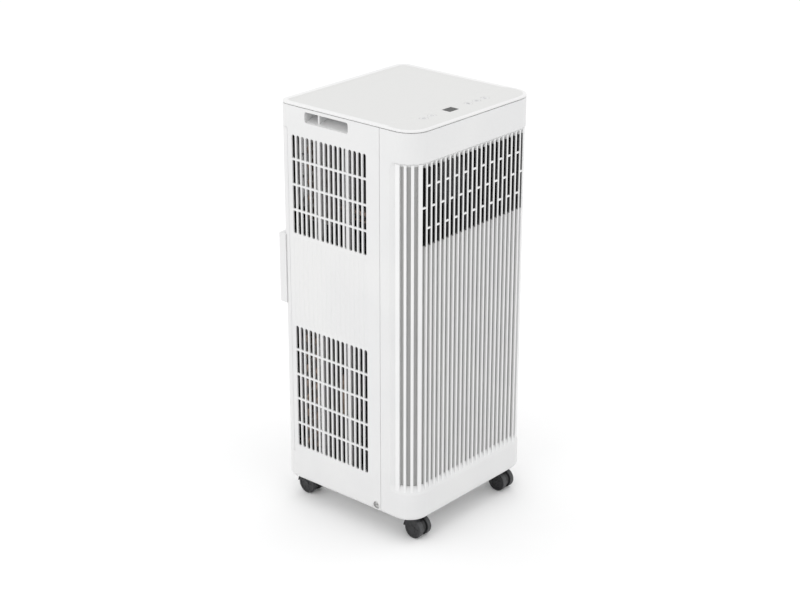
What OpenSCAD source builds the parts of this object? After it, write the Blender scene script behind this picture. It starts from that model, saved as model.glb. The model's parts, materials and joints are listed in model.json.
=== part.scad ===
// Portable air conditioner: a tall casing on four twin-wheel casters, with the
// cooled air leaving through a ribbed front grille and warm air leaving at the rear.
// Front faces -Y, +X is the right side seen from the front, Z = 0 is the floor.

/* [Casing] */
// Width of the casing
casing_w = 282; // [276:1:290]
// Depth of the casing, without the proud exhaust frame
casing_d = 266; // [262:1:272]
// Height of the top of the casing above the floor
top_z = 660; // [658:1:664]
// Height of the underside of the casing above the floor
base_z = 38; // [36:1:40]
// Plan radius of the two front corners
front_r = 34; // [32:1:36]
// Plan radius of the two rear corners
rear_r = 19; // [17:1:21]
// Thickness of the moulded casing walls
wall_t = 2.5; // [2.2:0.1:3]

/* [Front grille] */
// Number of upright slots across the front
slot_count = 23; // [21:2:23]
// Distance from one slot to the next
slot_pitch = 10.3; // [10:0.1:10.4]
// Width of each slot and of the groove below it
slot_w = 6.8; // [6:0.2:7]
// Height of the open part of the slots
slot_h = 118.5; // [100:0.5:120]
// Depth of the grooves between the ribs
groove_depth = 4.5; // [3.5:0.5:5]

/* [Side grilles] */
// Number of columns in each side grille
column_count = 16; // [14:1:16]
// Distance from one column to the next
column_pitch = 9.46; // [9.2:0.02:9.46]
// Width of each column's opening
column_w = 6.2; // [5.6:0.2:6.6]
// Height of the bars that cross the columns
bar_h = 3.4; // [3:0.2:4]

/* [Controls] */
// Radius of the round keys
key_r = 6.5; // [6:0.5:7]
// How far a key is pressed in
key_travel = 0.6; // [0.4:0.1:0.6]

/* [Exhaust] */
// Height of the frame around the exhaust outlet
exhaust_h = 113; // [108:1:114]
// Width of the oblong exhaust outlet
outlet_w = 190; // [170:2:200]
// Height of the oblong exhaust outlet
outlet_h = 88; // [80:2:90]
// How far the exhaust frame stands proud of the rear
exhaust_proud = 4; // [3:1:5]

/* [Casters] */
// Radius of a caster wheel
wheel_r = 16; // [15:0.5:16]
// Width of one wheel of a caster
wheel_w = 8.6; // [8:0.1:8.8]
// Distance from a caster's stem to its axle
caster_trail = 8; // [7:0.5:8]

/* [Hidden] */
$fn = 64;
run_gap = 0.05;
elbow_swell = 0.4;

// plan limits of the casing: the footprint is centred on the origin with the proud frame
half_w = casing_w / 2;
front_y = -(casing_d + exhaust_proud) / 2;
rear_y = front_y + casing_d;
seam_y = front_y + 64;
panel_y = rear_y - 19;

// heights
shell_top_z = top_z - 3.8;
cover_z = top_z - 2.8;
recess_z0 = base_z + 45;
recess_z1 = base_z + 573;
groove_z0 = recess_z0 + 14;
groove_z1 = recess_z1 - 6;
slot_z1 = recess_z1 - 9.5;
slot_z0 = slot_z1 - slot_h;
panel_z0 = base_z + 47;
panel_z1 = base_z + 583;

// front recess and its ribs
recess_y = front_y + 45.5;
rib_inset = 1.5;
corner_groove_angles = [17, 36, 56];
bridge_h = 3;

// side grilles
column_y0 = rear_y - 31.1;
upper_grille_z0 = base_z + 418;
upper_grille_h = 156;
lower_grille_z0 = base_z + 60;
lower_grille_h = 206;
flute_depth = 0.5;
flute_z0 = lower_grille_z0 + lower_grille_h + 6;
flute_h = upper_grille_z0 - 6 - flute_z0;

// hand grips under the top
grip_y0 = front_y + 125;
grip_y1 = front_y + 211;
grip_z0 = base_z + 597;
grip_z1 = base_z + 613;
grip_depth = 34;
grip_wall = 2;

// control panel
panel_row_y = front_y + 39.3;
key_x = [-72, -54, 29, 48.5, 68];
display_x = -12.5;
display_w = 21;
display_d = 16.5;
board_z = shell_top_z - 7.8;

// exhaust frame and rear filter windows
exhaust_z0 = base_z + 299;
exhaust_z1 = exhaust_z0 + exhaust_h;
exhaust_z = (exhaust_z0 + exhaust_z1) / 2;
frame_y = rear_y - 10;
window_w = 210;
upper_window_z = [exhaust_z1 + 36, panel_z1 - 15];
lower_window_z = [panel_z0 + 33, exhaust_z0 - 15];

// inner layout
deck_z = base_z + 417;
coil_w = 236;
evaporator_y = [rear_y - 87, rear_y - 39];
evaporator_z = [deck_z + 21, deck_z + 175];
condenser_y = [rear_y - 75, rear_y - 27];
condenser_z = [base_z + 28, base_z + 262];
blower_z = deck_z + 93;
blower_r = 64;
blower_y = [front_y + 95, front_y + 150];
fan_xy = [5, front_y + 150];
fan_r = 62;
fan_z = [exhaust_z0 + 17, exhaust_z1 - 30];
compressor_xy = [58, front_y + 84];
compressor_r = 54;
compressor_z = base_z + 20;
accumulator_xy = [-28, front_y + 62];
tray_spigot = [100, deck_z + 12];
spigot_r = 8;
drain_z = base_z + 20;
drain_r = 6.5;
gland_xz = [108, base_z + 30];
side_screw = [seam_y + 9, base_z + 10.6];
screw_boss_r = 8;
pan_top_z = base_z + 3.5;

// casters: axle centres in plan
caster_x = half_w - 37.5;
caster_y_front = front_y + 20;
caster_y_rear = rear_y - 20;
wheel_gap = 9.6;
axle_r = 2;
stem_r = 3;

white = [0.94, 0.94, 0.94];
shade_white = [0.9, 0.9, 0.9];
black = [0.12, 0.12, 0.13];
steel = [0.66, 0.67, 0.69];
copper = [0.72, 0.43, 0.27];
grey = [0.55, 0.56, 0.57];
charcoal = [0.2, 0.2, 0.21];

// ---- helpers ----

module casing_outline(inset) {
  x = half_w - inset;
  fr = front_r - inset;
  rr = max(rear_r - inset, 1);
  yf = front_y + inset;
  yr = rear_y - inset;
  for (s = [-1, 1]) {
    translate([s * (x - fr), yf + fr]) circle(fr);
    translate([s * (x - rr), yr - rr]) circle(rr);
  }
  translate([-(x - fr), yf]) square([2 * (x - fr), fr + 1]);
  translate([-x, yf + fr]) square([2 * x, yr - rr - yf - fr]);
  translate([-(x - rr), yr - rr - 1]) square([2 * (x - rr), rr + 1]);
}

module casing_ring(inner, outer) {
  difference() {
    casing_outline(outer);
    casing_outline(inner);
  }
}

module block(low, high) {
  translate(low) cube([high[0] - low[0], high[1] - low[1], high[2] - low[2]]);
}

module oblong(w, h) {
  r = min(w, h) / 2;
  for (s = [-1, 1]) translate(w > h ? [s * (w / 2 - r), 0] : [0, s * (h / 2 - r)]) circle(r);
  square(w > h ? [w - 2 * r, h] : [w, h - 2 * r], center = true);
}

module rounded_rect(w, h, r) {
  for (x = [-1, 1], y = [-1, 1]) translate([x * (w / 2 - r), y * (h / 2 - r)]) circle(r);
  square([w, h - 2 * r], center = true);
  square([w - 2 * r, h], center = true);
}

// a shape drawn in X and Z, swept from y0 to y1
module along_y(y0, y1) {
  translate([0, y1, 0]) rotate([90, 0, 0]) linear_extrude(y1 - y0) children();
}

// a shape drawn in Y and Z, swept from x0 to x1
module along_x(x0, x1) {
  translate([x0, 0, 0]) rotate([90, 0, 90]) linear_extrude(x1 - x0) children();
}

module rod(a, b, r) {
  d = b - a;
  len = norm(d);
  translate(a) rotate([0, acos(d[2] / len), atan2(d[1], d[0])]) cylinder(r = r, h = len);
}

// a round pipe through points, with brazed elbows a little fatter than the tube
module pipe(points, r) {
  for (i = [0 : len(points) - 2]) rod(points[i], points[i + 1], r);
  for (i = [1 : len(points) - 2]) translate(points[i]) sphere(r + elbow_swell);
}

// ---- outer casing ----

module base_pan() {
  pan_inset = wall_t + 0.4;
  foot_inset = 9.5;
  color(white) difference() {
    union() {
      translate([0, 0, base_z + 0.5]) linear_extrude(pan_top_z - base_z - 0.5) casing_outline(foot_inset);
      translate([0, 0, base_z + 2.6]) linear_extrude(pan_top_z - base_z - 2.6) casing_outline(pan_inset);
      translate([0, 0, base_z + 2.6]) linear_extrude(14) casing_ring(pan_inset + 2.4, pan_inset);
      for (x = [-1, 1], y = [caster_y_front, caster_y_rear])
        translate([x * caster_x, y + caster_trail, base_z + 3]) cylinder(r = 8.5, h = 14);
      translate([0, rear_y - 26, drain_z]) rotate([-90, 0, 0]) cylinder(r = 8.5, h = 26);
    }
    for (x = [-1, 1], y = [caster_y_front, caster_y_rear])
      translate([x * caster_x, y + caster_trail, base_z - 1]) cylinder(r = stem_r, h = 16);
    translate([0, rear_y - 20, drain_z]) rotate([-90, 0, 0]) cylinder(r = drain_r, h = 30);
    translate([0, rear_y - 30, drain_z]) rotate([-90, 0, 0]) cylinder(r = 4, h = 20);
    for (x = [-half_w, half_w]) translate([x - 20, side_screw[0], side_screw[1]])
      rotate([0, 90, 0]) cylinder(r = screw_boss_r + 0.3, h = 40);
  }
}

module front_shell() {
  color(white) difference() {
    translate([0, 0, base_z]) linear_extrude(shell_top_z - base_z) difference() {
      casing_ring(wall_t, 0);
      translate([-half_w - 1, seam_y - 0.25]) square([casing_w + 2, casing_d]);
    }
    block([-half_w - 1, front_y - 1, recess_z0], [half_w + 1, recess_y, recess_z1]);
  }
}

function slot_x(i) = (i - (slot_count - 1) / 2) * slot_pitch;

module groove_cuts() {
  corner_x = half_w - front_r;
  corner_y = front_y + front_r;
  reach = front_r - rib_inset - groove_depth;
  for (i = [0 : slot_count - 1])
    translate([slot_x(i) - slot_w / 2, front_y - 1])
      square([slot_w, 1 + rib_inset + groove_depth + (abs(slot_x(i)) > corner_x ? 0.9 : 0)]);
  for (s = [-1, 1], a = corner_groove_angles)
    translate([s * corner_x, corner_y])
      rotate(s > 0 ? -a : 180 + a)
        translate([reach, -slot_w / 2]) square([front_r, slot_w]);
}

module front_grille() {
  back = rib_inset + groove_depth + 2.2;
  color(white) difference() {
    intersection() {
      union() {
        translate([0, 0, groove_z0]) linear_extrude(groove_z1 - groove_z0) difference() {
          casing_ring(back, rib_inset);
          groove_cuts();
        }
        translate([0, 0, recess_z0 + 0.2]) linear_extrude(groove_z0 - recess_z0) casing_ring(back, rib_inset);
        translate([0, 0, groove_z1]) linear_extrude(recess_z1 - groove_z1 - 0.2) casing_ring(back, rib_inset);
      }
      block([-half_w, front_y, recess_z0], [half_w, recess_y - 0.2, recess_z1]);
    }
    for (i = [0 : slot_count - 1])
      block([slot_x(i) - slot_w / 2, front_y - 1, slot_z0],
            [slot_x(i) + slot_w / 2, front_y + back + 5, slot_z1]);
  }
  color(white) for (i = [0 : slot_count - 1]) slot_bridges(i, front_y + back);
}

// even slots have one bridge at mid height, odd ones have two
module slot_bridges(i, back_y) {
  for (share = i % 2 == 0 ? [0.5] : [0.23, 0.77], z = [slot_z1 - share * slot_h])
    block([slot_x(i) - slot_w / 2 - 0.5, front_y + rib_inset + 1, z - bridge_h / 2],
          [slot_x(i) + slot_w / 2 + 0.5, back_y, z + bridge_h / 2]);
}

module grille_columns(z0, h, rows) {
  row = (h - (rows - 1) * bar_h) / rows;
  difference() {
    for (i = [0 : column_count - 1])
      translate([column_y0 - i * column_pitch, z0 + h / 2]) oblong(column_w, h);
    for (k = [1 : rows - 1])
      translate([column_y0 - column_count * column_pitch, z0 + k * row + (k - 1) * bar_h])
        square([(column_count + 1) * column_pitch, bar_h]);
  }
}

module grip_section(mouth_x, grow) {
  polygon([
    [mouth_x, grip_z0 - grow],
    [half_w - grip_depth - grow, grip_z0 + 9 - grow],
    [half_w - grip_depth - grow, grip_z1 + 1.5 + grow],
    [mouth_x, grip_z1 + 1.5 + grow]
  ]);
}

// finger cups behind the grip openings, each with a rib that divides it
module grip_cups() {
  rib_y = grip_y1 - 26;
  color(white) for (s = [0, 1]) mirror([s, 0, 0]) difference() {
    along_y(grip_y0 - grip_wall, grip_y1 + grip_wall) grip_section(half_w - wall_t, grip_wall);
    difference() {
      along_y(grip_y0, grip_y1) grip_section(half_w, 0);
      block([0, rib_y, grip_z0], [half_w - 5, rib_y + 3, grip_z1 + 5]);
    }
  }
}

// one half of the side and rear casing: s is 1 for the right half and -1 for the left
module side_shell(s) {
  split_gap = 0.1;
  color(white) intersection() {
    rear_casing();
    block([s > 0 ? split_gap : -half_w, front_y, base_z], [s > 0 ? half_w : -split_gap, rear_y, top_z]);
  }
}

module rear_casing() {
  rib_columns = [5, 11];
  difference() {
    union() {
      difference() {
        translate([0, 0, base_z]) linear_extrude(shell_top_z - base_z) difference() {
          casing_ring(wall_t, 0);
          translate([-half_w - 1, front_y - 1]) square([casing_w + 2, seam_y + 0.25 - front_y + 1]);
        }
        along_x(-half_w - 1, half_w + 1) {
          grille_columns(upper_grille_z0, upper_grille_h, 4);
          grille_columns(lower_grille_z0, lower_grille_h, 5);
        }
        for (s = [-1, 1], i = [0 : column_count - 1])
          translate([s * half_w - flute_depth, column_y0 - i * column_pitch - column_w / 2, flute_z0])
            cube([2 * flute_depth, column_w, flute_h]);
        for (s = [0, 1]) mirror([s, 0, 0])
          block([half_w - wall_t - 1, grip_y0, grip_z0], [half_w + 1, grip_y1, grip_z1]);
      }
      for (s = [0, 1]) mirror([s, 0, 0]) {
        for (c = rib_columns)
          block([half_w - wall_t - 9, column_y0 - c * column_pitch - 1.2, base_z + 24],
                [half_w - wall_t + 0.5, column_y0 - c * column_pitch + 1.2, grip_z0 - 8]);
        translate([half_w - 14, side_screw[0], side_screw[1]]) rotate([0, 90, 0])
          cylinder(r = screw_boss_r, h = 13);
      }
    }
    block([-half_w - 1, panel_y, panel_z0], [half_w + 1, rear_y + 1, panel_z1]);
    for (s = [0, 1]) mirror([s, 0, 0]) {
      translate([half_w - 5, side_screw[0], side_screw[1]]) rotate([0, 90, 0]) cylinder(r = 6.2, h = 10);
      translate([half_w - 20, side_screw[0], side_screw[1]]) rotate([0, 90, 0]) cylinder(r = 2, h = 20);
    }
    translate([0, rear_y - 5, drain_z]) rotate([-90, 0, 0]) cylinder(r = 9, h = 10);
    translate([gland_xz[0], rear_y - 5, gland_xz[1]]) rotate([-90, 0, 0]) cylinder(r = 9, h = 10);
  }
}

module rear_panel() {
  spigot_pocket_r = 16;
  seat_w = window_w + 5;
  color(white) difference() {
    union() {
      intersection() {
        translate([0, 0, panel_z0 + 0.3]) linear_extrude(panel_z1 - panel_z0 - 0.6) casing_ring(wall_t, 0);
        block([-half_w, panel_y + 0.3, 0], [half_w, rear_y + 1, top_z]);
      }
      for (z = [upper_window_z, lower_window_z])
        block([-seat_w / 2, rear_y - 9.5, z[0] - 2.5], [seat_w / 2, rear_y - 1, z[1] + 2.5]);
      translate([tray_spigot[0], rear_y - 15, tray_spigot[1]]) rotate([-90, 0, 0])
        cylinder(r = spigot_pocket_r + 1.8, h = 14);
    }
    translate([tray_spigot[0], rear_y - 12.5, tray_spigot[1]]) rotate([-90, 0, 0])
      cylinder(r = spigot_pocket_r, h = 20);
    translate([tray_spigot[0], rear_y - 20, tray_spigot[1]]) rotate([-90, 0, 0]) cylinder(r = 7.3, h = 10);
    translate([0, 0, exhaust_z]) along_y(rear_y - 5, rear_y + 1) oblong(outlet_w + 6.4, outlet_h + 6.4);
    for (z = [upper_window_z, lower_window_z]) {
      block([-window_w / 2, rear_y - 7.3, z[0]], [window_w / 2, rear_y + 1, z[1]]);
      block([-window_w / 2 + 4, rear_y - 10, z[0] + 4], [window_w / 2 - 4, rear_y, z[1] - 4]);
    }
    for (x = [-1, 1], z = [panel_z0 + 9, panel_z1 - 9])
      translate([x * 112, rear_y - 5, z]) rotate([-90, 0, 0]) cylinder(r = 2.1, h = 10);
  }
}

module top_cover() {
  dish_y = front_y + 62;
  color(shade_white) difference() {
    union() {
      translate([0, 0, cover_z]) linear_extrude(top_z - cover_z) casing_outline(0);
      translate([0, 0, shell_top_z - 1.7]) linear_extrude(cover_z - shell_top_z + 1.8)
        casing_ring(wall_t + 3, wall_t + 0.6);
    }
    intersection() {
      translate([0, 0, top_z - 1.4]) linear_extrude(5) casing_outline(9);
      block([-half_w, dish_y, top_z - 5], [half_w, rear_y, top_z + 5]);
    }
    for (x = key_x)
      translate([x, panel_row_y, cover_z - 1]) cylinder(r = key_r + 0.15, h = 10);
    block([display_x - display_w / 2 - 0.1, panel_row_y - display_d / 2 - 0.1, cover_z - 1],
          [display_x + display_w / 2 + 0.1, panel_row_y + display_d / 2 + 0.1, top_z + 1]);
  }
}

module display_window() {
  color(black) translate([display_x, panel_row_y, cover_z + 0.1]) linear_extrude(top_z - cover_z - 0.2)
    rounded_rect(display_w, display_d, 1);
}

module control_board() {
  switch_top = board_z + 5.2;
  color("darkgreen") {
    block([-88, panel_row_y - 16, board_z], [88, panel_row_y + 16, board_z + 1.6]);
    block([display_x - 9, panel_row_y - 6, board_z + 1.6], [display_x + 9, panel_row_y + 6, cover_z - 0.6]);
    for (x = key_x) {
      block([x - 3, panel_row_y - 3, board_z + 1.6], [x + 3, panel_row_y + 3, switch_top - 0.8]);
      translate([x, panel_row_y, switch_top - 0.8]) cylinder(r = 1.6, h = 0.8);
    }
    for (x = [-80, 80]) translate([x, panel_row_y + 8, board_z + 1.5])
      cylinder(r = 3, h = cover_z - board_z - 1.6);
  }
}

module key_cap(x) {
  stem_z = board_z + 5.2 + 0.9;
  color(shade_white) translate([x, panel_row_y, 0]) {
    translate([0, 0, cover_z - 1]) cylinder(r = key_r, h = top_z - cover_z + 1);
    translate([0, 0, cover_z - 1.6]) cylinder(r = key_r + 1.1, h = 1.2);
    translate([0, 0, stem_z]) cylinder(r = 1.8, h = cover_z - stem_z);
  }
}

// ---- rear: exhaust frame and filters ----

// a pad that squares off the rear corners, with a sideways seat for the hose adapter
module exhaust_frame() {
  rail_y = rear_y + exhaust_proud;
  seat_h = outlet_h + 17;
  lip = 3;
  color(white) difference() {
    union() {
      translate([0, 0, exhaust_z0]) linear_extrude(exhaust_h) difference() {
        translate([-half_w, frame_y]) square([casing_w, rail_y - frame_y]);
        casing_outline(-0.1);
      }
      translate([0, 0, exhaust_z]) along_y(rear_y - 30, rear_y + 1) oblong(outlet_w + 6, outlet_h + 6);
    }
    translate([0, 0, exhaust_z]) along_y(rear_y - 40, rear_y + 10) oblong(outlet_w, outlet_h);
    block([-outlet_w / 2 - 12, rail_y - 2.6, exhaust_z - seat_h / 2],
          [half_w + 1, rail_y - 1.2, exhaust_z + seat_h / 2]);
    block([-outlet_w / 2 - 12, rail_y - 2, exhaust_z - seat_h / 2 + lip],
          [half_w + 1, rail_y + 1, exhaust_z + seat_h / 2 - lip]);
  }
}

module air_filter(z) {
  gap = 0.4;
  w = window_w - 2 * gap;
  h = z[1] - z[0] - 2 * gap;
  rows = round(h / 45);
  row = (h - 16 - (rows - 1) * bar_h) / rows;
  columns = 20;
  color(white) translate([0, 0, (z[0] + z[1]) / 2]) {
    along_y(rear_y - 3, rear_y + 0.4) difference() {
      rounded_rect(w, h, 3);
      difference() {
        for (i = [0 : columns - 1])
          translate([(i - (columns - 1) / 2) * 9.8, 0]) oblong(6.4, h - 16);
        for (k = [1 : rows - 1])
          translate([-w / 2, -(h - 16) / 2 + k * row + (k - 1) * bar_h]) square([w, bar_h]);
      }
    }
    along_y(rear_y - 6.5, rear_y - 3) difference() {
      rounded_rect(w - 1, h - 1, 3);
      rounded_rect(w - 9, h - 9, 2);
    }
    // finger tab along the upper edge
    along_y(rear_y + 0.3, rear_y + 3.4) translate([0, h / 2 - 4]) oblong(46, 5);
  }
  // the net, which the frame is moulded around
  color(grey) translate([0, 0, (z[0] + z[1]) / 2])
    along_y(rear_y - 5.5, rear_y - 4.7) rounded_rect(window_w - 10.2, z[1] - z[0] - 10.2, 2);
}

// ---- inner structure ----

module partition() {
  color(charcoal) difference() {
    union() {
      translate([0, 0, deck_z - 3]) linear_extrude(3) casing_outline(wall_t + 12.5);
      for (x = [-118, 118])
        block([x - 1.5, front_y + 127, pan_top_z], [x + 1.5, front_y + 150, deck_z - 3]);
    }
    for (x = [-104, -92, -80]) translate([x, front_y + 112, deck_z - 10]) cylinder(r = 7, h = 20);
  }
}

module water_tray() {
  y0 = evaporator_y[0] - 10;
  y1 = evaporator_y[1] + 12;
  color(charcoal) difference() {
    union() {
      block([-122, y0, deck_z], [122, y1, deck_z + 20]);
      translate([tray_spigot[0], y1 - 1, tray_spigot[1]]) rotate([-90, 0, 0])
        cylinder(r = 7, h = rear_y - y1 - 11);
      translate([tray_spigot[0], rear_y - 12.4, tray_spigot[1]]) rotate([-90, 0, 0])
        cylinder(r = spigot_r, h = 15);
    }
    block([-120, y0 + 2, deck_z + 2.5], [120, y1 - 2, deck_z + 30]);
    translate([tray_spigot[0], y1 - 10, tray_spigot[1]]) rotate([-90, 0, 0]) cylinder(r = 5, h = 80);
  }
}

module compressor() {
  h = 190;
  color(black) translate([compressor_xy[0], compressor_xy[1], compressor_z]) {
    cylinder(r = 58, h = 3);
    for (a = [30, 150, 270]) rotate(a) translate([56, 0, 0]) cylinder(r = 13, h = 3);
    translate([0, 0, 2]) cylinder(r1 = 42, r2 = compressor_r, h = 18);
    translate([0, 0, 20]) cylinder(r = compressor_r, h = h - 45);
    intersection() {
      translate([0, 0, h - 61]) sphere(r = 65);
      translate([0, 0, h - 26]) cylinder(r = compressor_r, h = 60);
    }
    translate([18, 0, h - 8]) cylinder(r = 14, h = 20);
  }
}

module accumulator() {
  can_z = base_z + 78;
  reach = compressor_xy - accumulator_xy;
  color(black) difference() {
    translate([accumulator_xy[0], accumulator_xy[1], can_z]) {
      cylinder(r = 22, h = 110);
      translate([0, 0, 110]) cylinder(r1 = 22, r2 = 6, h = 16);
      translate([0, 0, -14]) cylinder(r1 = 6, r2 = 22, h = 14);
      rod([0, 0, -13], [0, 0, -34], 5);
      translate([0, 0, -34]) sphere(5 + elbow_swell);
      rod([0, 0, -34], [reach[0], reach[1], -34], 5);
    }
    translate([compressor_xy[0], compressor_xy[1], base_z]) cylinder(r = compressor_r + 0.05, h = 200);
  }
}

module compressor_grommets() {
  color(black) for (a = [30, 150, 270])
    translate([compressor_xy[0], compressor_xy[1], pan_top_z]) rotate(a) translate([60, 0, 0]) {
      cylinder(r = 9, h = compressor_z - pan_top_z);
      cylinder(r = 11, h = 4);
    }
}

// a finned block with comb grooves down both faces, between end plates that reach foot_z
module coil_fins(y, z, foot_z) {
  pitch = 4;
  fin_t = 1;
  groove = 20;
  count = floor(coil_w / pitch);
  color(grey) {
    translate([0, 0, z[0]]) linear_extrude(z[1] - z[0]) difference() {
      translate([-coil_w / 2, y[0]]) square([coil_w, y[1] - y[0]]);
      for (i = [0 : count - 1], end = [y[0] - 1, y[1] - groove])
        translate([-coil_w / 2 + i * pitch + fin_t, end]) square([pitch - fin_t, groove + 1]);
    }
    for (x = [-coil_w / 2 - 1.5, coil_w / 2 - 0.5]) block([x, y[0], foot_z], [x + 2, y[1], z[1]]);
  }
}

// hairpin tube ends that stand out of both end plates of a coil
module coil_tubes(y, z) {
  pitch = 25.4;
  rows = floor((z[1] - z[0]) / pitch);
  tube_r = 3.6;
  bend_r = 6;
  color(copper) for (s = [0, 1], j = [0, 1], i = [0 : rows - 1]) mirror([s, 0, 0])
    translate([coil_w / 2 + 1.5, y[0] + 14 + 20 * j, z[0] + (i + 0.5) * pitch]) {
      for (k = [-1, 1]) translate([0, 0, k * bend_r]) rotate([0, 90, 0]) cylinder(r = tube_r, h = 4);
      translate([4, 0, 0]) rotate([90, 0, 0]) rotate(-90) rotate_extrude(angle = 180)
        translate([bend_r, 0]) circle(tube_r);
    }
}

// a squirrel-cage wheel along +Z with its back plate at the top
module cage_wheel(r, h, shaft_r) {
  blades = 30;
  difference() {
    union() {
      translate([0, 0, h - 3]) cylinder(r = r, h = 3);
      translate([0, 0, h - 22]) cylinder(r = 11, h = 22);
      difference() {
        cylinder(r = r, h = 4);
        translate([0, 0, -1]) cylinder(r = r - 14, h = 6);
      }
      linear_extrude(h - 1) for (a = [0 : blades - 1])
        rotate(a * 360 / blades) translate([r - 13, 0]) rotate(22) square([12, 1.4]);
    }
    translate([0, 0, -1]) cylinder(r = shaft_r, h = h + 2);
  }
}

// volute outline: a spiral that grows from r0 to r1 over one turn
module volute(r0, r1, grow) {
  steps = 48;
  polygon([for (i = [0 : steps]) let (a = i * 360 / steps, r = r0 + (r1 - r0) * i / steps + grow)
    [r * cos(a), r * sin(a)]]);
}

motor_shaft_r = 4;
scroll_r0 = 70;
scroll_r1 = 84;

module blower_wheel() {
  color(charcoal) translate([0, blower_y[1], blower_z]) rotate([90, 0, 0])
    cage_wheel(blower_r, blower_y[1] - blower_y[0], motor_shaft_r + run_gap);
}

module blower_scroll() {
  wall = 2;
  plenum_y = front_y + 11.5;
  plenum_z = [deck_z, deck_z + 177];
  duct_x = 38;
  color(charcoal) difference() {
    union() {
      translate([0, 0, blower_z]) along_y(blower_y[0] - 6, blower_y[1] + 6) {
        volute(scroll_r0, scroll_r1, wall);
        translate([duct_x, 0]) square([scroll_r1 + wall - duct_x, 82]);
      }
      block([-118, plenum_y, plenum_z[0]], [118, blower_y[0] - 4, plenum_z[1]]);
    }
    translate([0, 0, blower_z]) along_y(blower_y[0] - 4, blower_y[1] + 4) {
      volute(scroll_r0, scroll_r1, 0);
      translate([duct_x + wall, -1]) square([scroll_r1 - duct_x - wall, 81]);
    }
    block([-116, plenum_y - 1, plenum_z[0] + 2], [116, blower_y[0] - 6, plenum_z[1] - 2]);
    translate([0, blower_y[1] - 2, blower_z]) rotate([-90, 0, 0]) cylinder(r = 52, h = 20);
    block([duct_x + 4, blower_y[0] - 20, blower_z + 40], [scroll_r1 - 2, blower_y[0] + 5, blower_z + 78]);
    translate([0, blower_y[0] - 20, blower_z]) rotate([-90, 0, 0]) cylinder(r = 12, h = 30);
  }
}

module blower_motor() {
  color(steel) translate([0, blower_y[0], blower_z]) rotate([90, 0, 0]) {
    translate([0, 0, 4]) cylinder(r = 9, h = 4);
    translate([0, 0, 6.2]) cylinder(r = 38, h = 40);
    translate([0, 0, -40]) cylinder(r = motor_shaft_r, h = 50);
  }
}

module exhaust_wheel() {
  color(charcoal) translate([fan_xy[0], fan_xy[1], fan_z[0]])
    cage_wheel(fan_r, fan_z[1] - fan_z[0], motor_shaft_r + run_gap);
}

module exhaust_scroll() {
  wall = 2;
  low = exhaust_z - outlet_h / 2 - 3;
  high = exhaust_z + outlet_h / 2 + 3;
  neck_y = rear_y - 30.3;
  duct_x = 20;
  color(charcoal) difference() {
    translate([0, 0, low]) linear_extrude(high - low) {
      translate(fan_xy) {
        volute(scroll_r0, scroll_r1, wall);
        translate([duct_x, 0]) square([scroll_r1 + wall - duct_x, 60]);
      }
      translate([-outlet_w / 2, fan_xy[1] + 46]) square([outlet_w, neck_y - fan_xy[1] - 46]);
    }
    translate([0, 0, low + 2]) linear_extrude(high - low - 4) {
      translate(fan_xy) {
        volute(scroll_r0, scroll_r1, 0);
        translate([duct_x + wall, -1]) square([scroll_r1 - duct_x - wall, 61]);
      }
      translate([-outlet_w / 2 + 2, fan_xy[1] + 48]) square([outlet_w - 4, neck_y - fan_xy[1]]);
    }
    translate([fan_xy[0], fan_xy[1], low - 1]) cylinder(r = 50, h = 5);
    translate([fan_xy[0], fan_xy[1], high - 5]) cylinder(r = 12, h = 10);
  }
}

module exhaust_motor() {
  top = exhaust_z + outlet_h / 2 + 3;
  color(steel) translate([fan_xy[0], fan_xy[1], 0]) {
    translate([0, 0, fan_z[1] + 4]) cylinder(r = 9, h = top - fan_z[1] - 4);
    translate([0, 0, top]) cylinder(r = 36, h = deck_z - 3 - top);
    translate([0, 0, fan_z[1] - 40]) cylinder(r = motor_shaft_r, h = 50);
  }
}

splash_xyz = [-70, condenser_y[0] - 34, base_z + 40];

module splash_wheel() {
  blades = 12;
  color(charcoal) translate(splash_xyz) rotate([0, 90, 0]) difference() {
    union() {
      cylinder(r = 22, h = 2);
      cylinder(r = 7, h = 12);
      linear_extrude(9) for (a = [0 : blades - 1]) rotate(a * 360 / blades) translate([12, -0.7])
        square([17, 1.4]);
    }
    translate([0, 0, -1]) cylinder(r = 2 + run_gap, h = 20);
  }
}

module splash_motor() {
  color(steel) translate(splash_xyz) rotate([0, 90, 0]) {
    translate([0, 0, 14]) cylinder(r = 18, h = 22);
    translate([0, 0, 1]) cylinder(r = 2, h = 14);
    translate([2, -18, 20]) cube([splash_xyz[2] - base_z - 5.5, 36, 4]);
  }
}

module discharge_pipe() {
  x = compressor_xy[0];
  y = compressor_xy[1];
  z = compressor_z + 192;
  color(copper) difference() {
    pipe([
      [x - 24, y, z - 12], [x - 24, y, z + 26], [-60, y, z + 26], [-60, condenser_y[0] - 12, z + 26],
      [-60, condenser_y[0] - 12, condenser_z[1] + 8], [-60, condenser_y[0] + 14, condenser_z[1] + 8],
      [-60, condenser_y[0] + 14, condenser_z[1]]
    ], 4);
    translate([x, y, compressor_z + 129]) sphere(65.05);
  }
}

module liquid_line() {
  x = -92;
  y = condenser_y[0] - 12;
  riser_y = front_y + 112;
  turn_z = base_z + 282;
  color(copper) {
    pipe([
      [x, condenser_y[0], condenser_z[0] + 40], [x, y, condenser_z[0] + 40], [x, y, turn_z],
      [x, riser_y, turn_z], [x, riser_y, deck_z + 30], [x, evaporator_y[0], deck_z + 30]
    ], 3);
    translate([x, y, condenser_z[0] + 90]) cylinder(r = 10, h = 70);
  }
}

module suction_pipe() {
  ax = accumulator_xy[0];
  ay = accumulator_xy[1];
  color(copper) pipe([
    [ax, ay, base_z + 204], [ax, ay, base_z + 232], [-104, ay, base_z + 232],
    [-104, front_y + 112, base_z + 232], [-104, front_y + 112, deck_z + 48],
    [-104, evaporator_y[0], deck_z + 48]
  ], 5);
}

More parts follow.
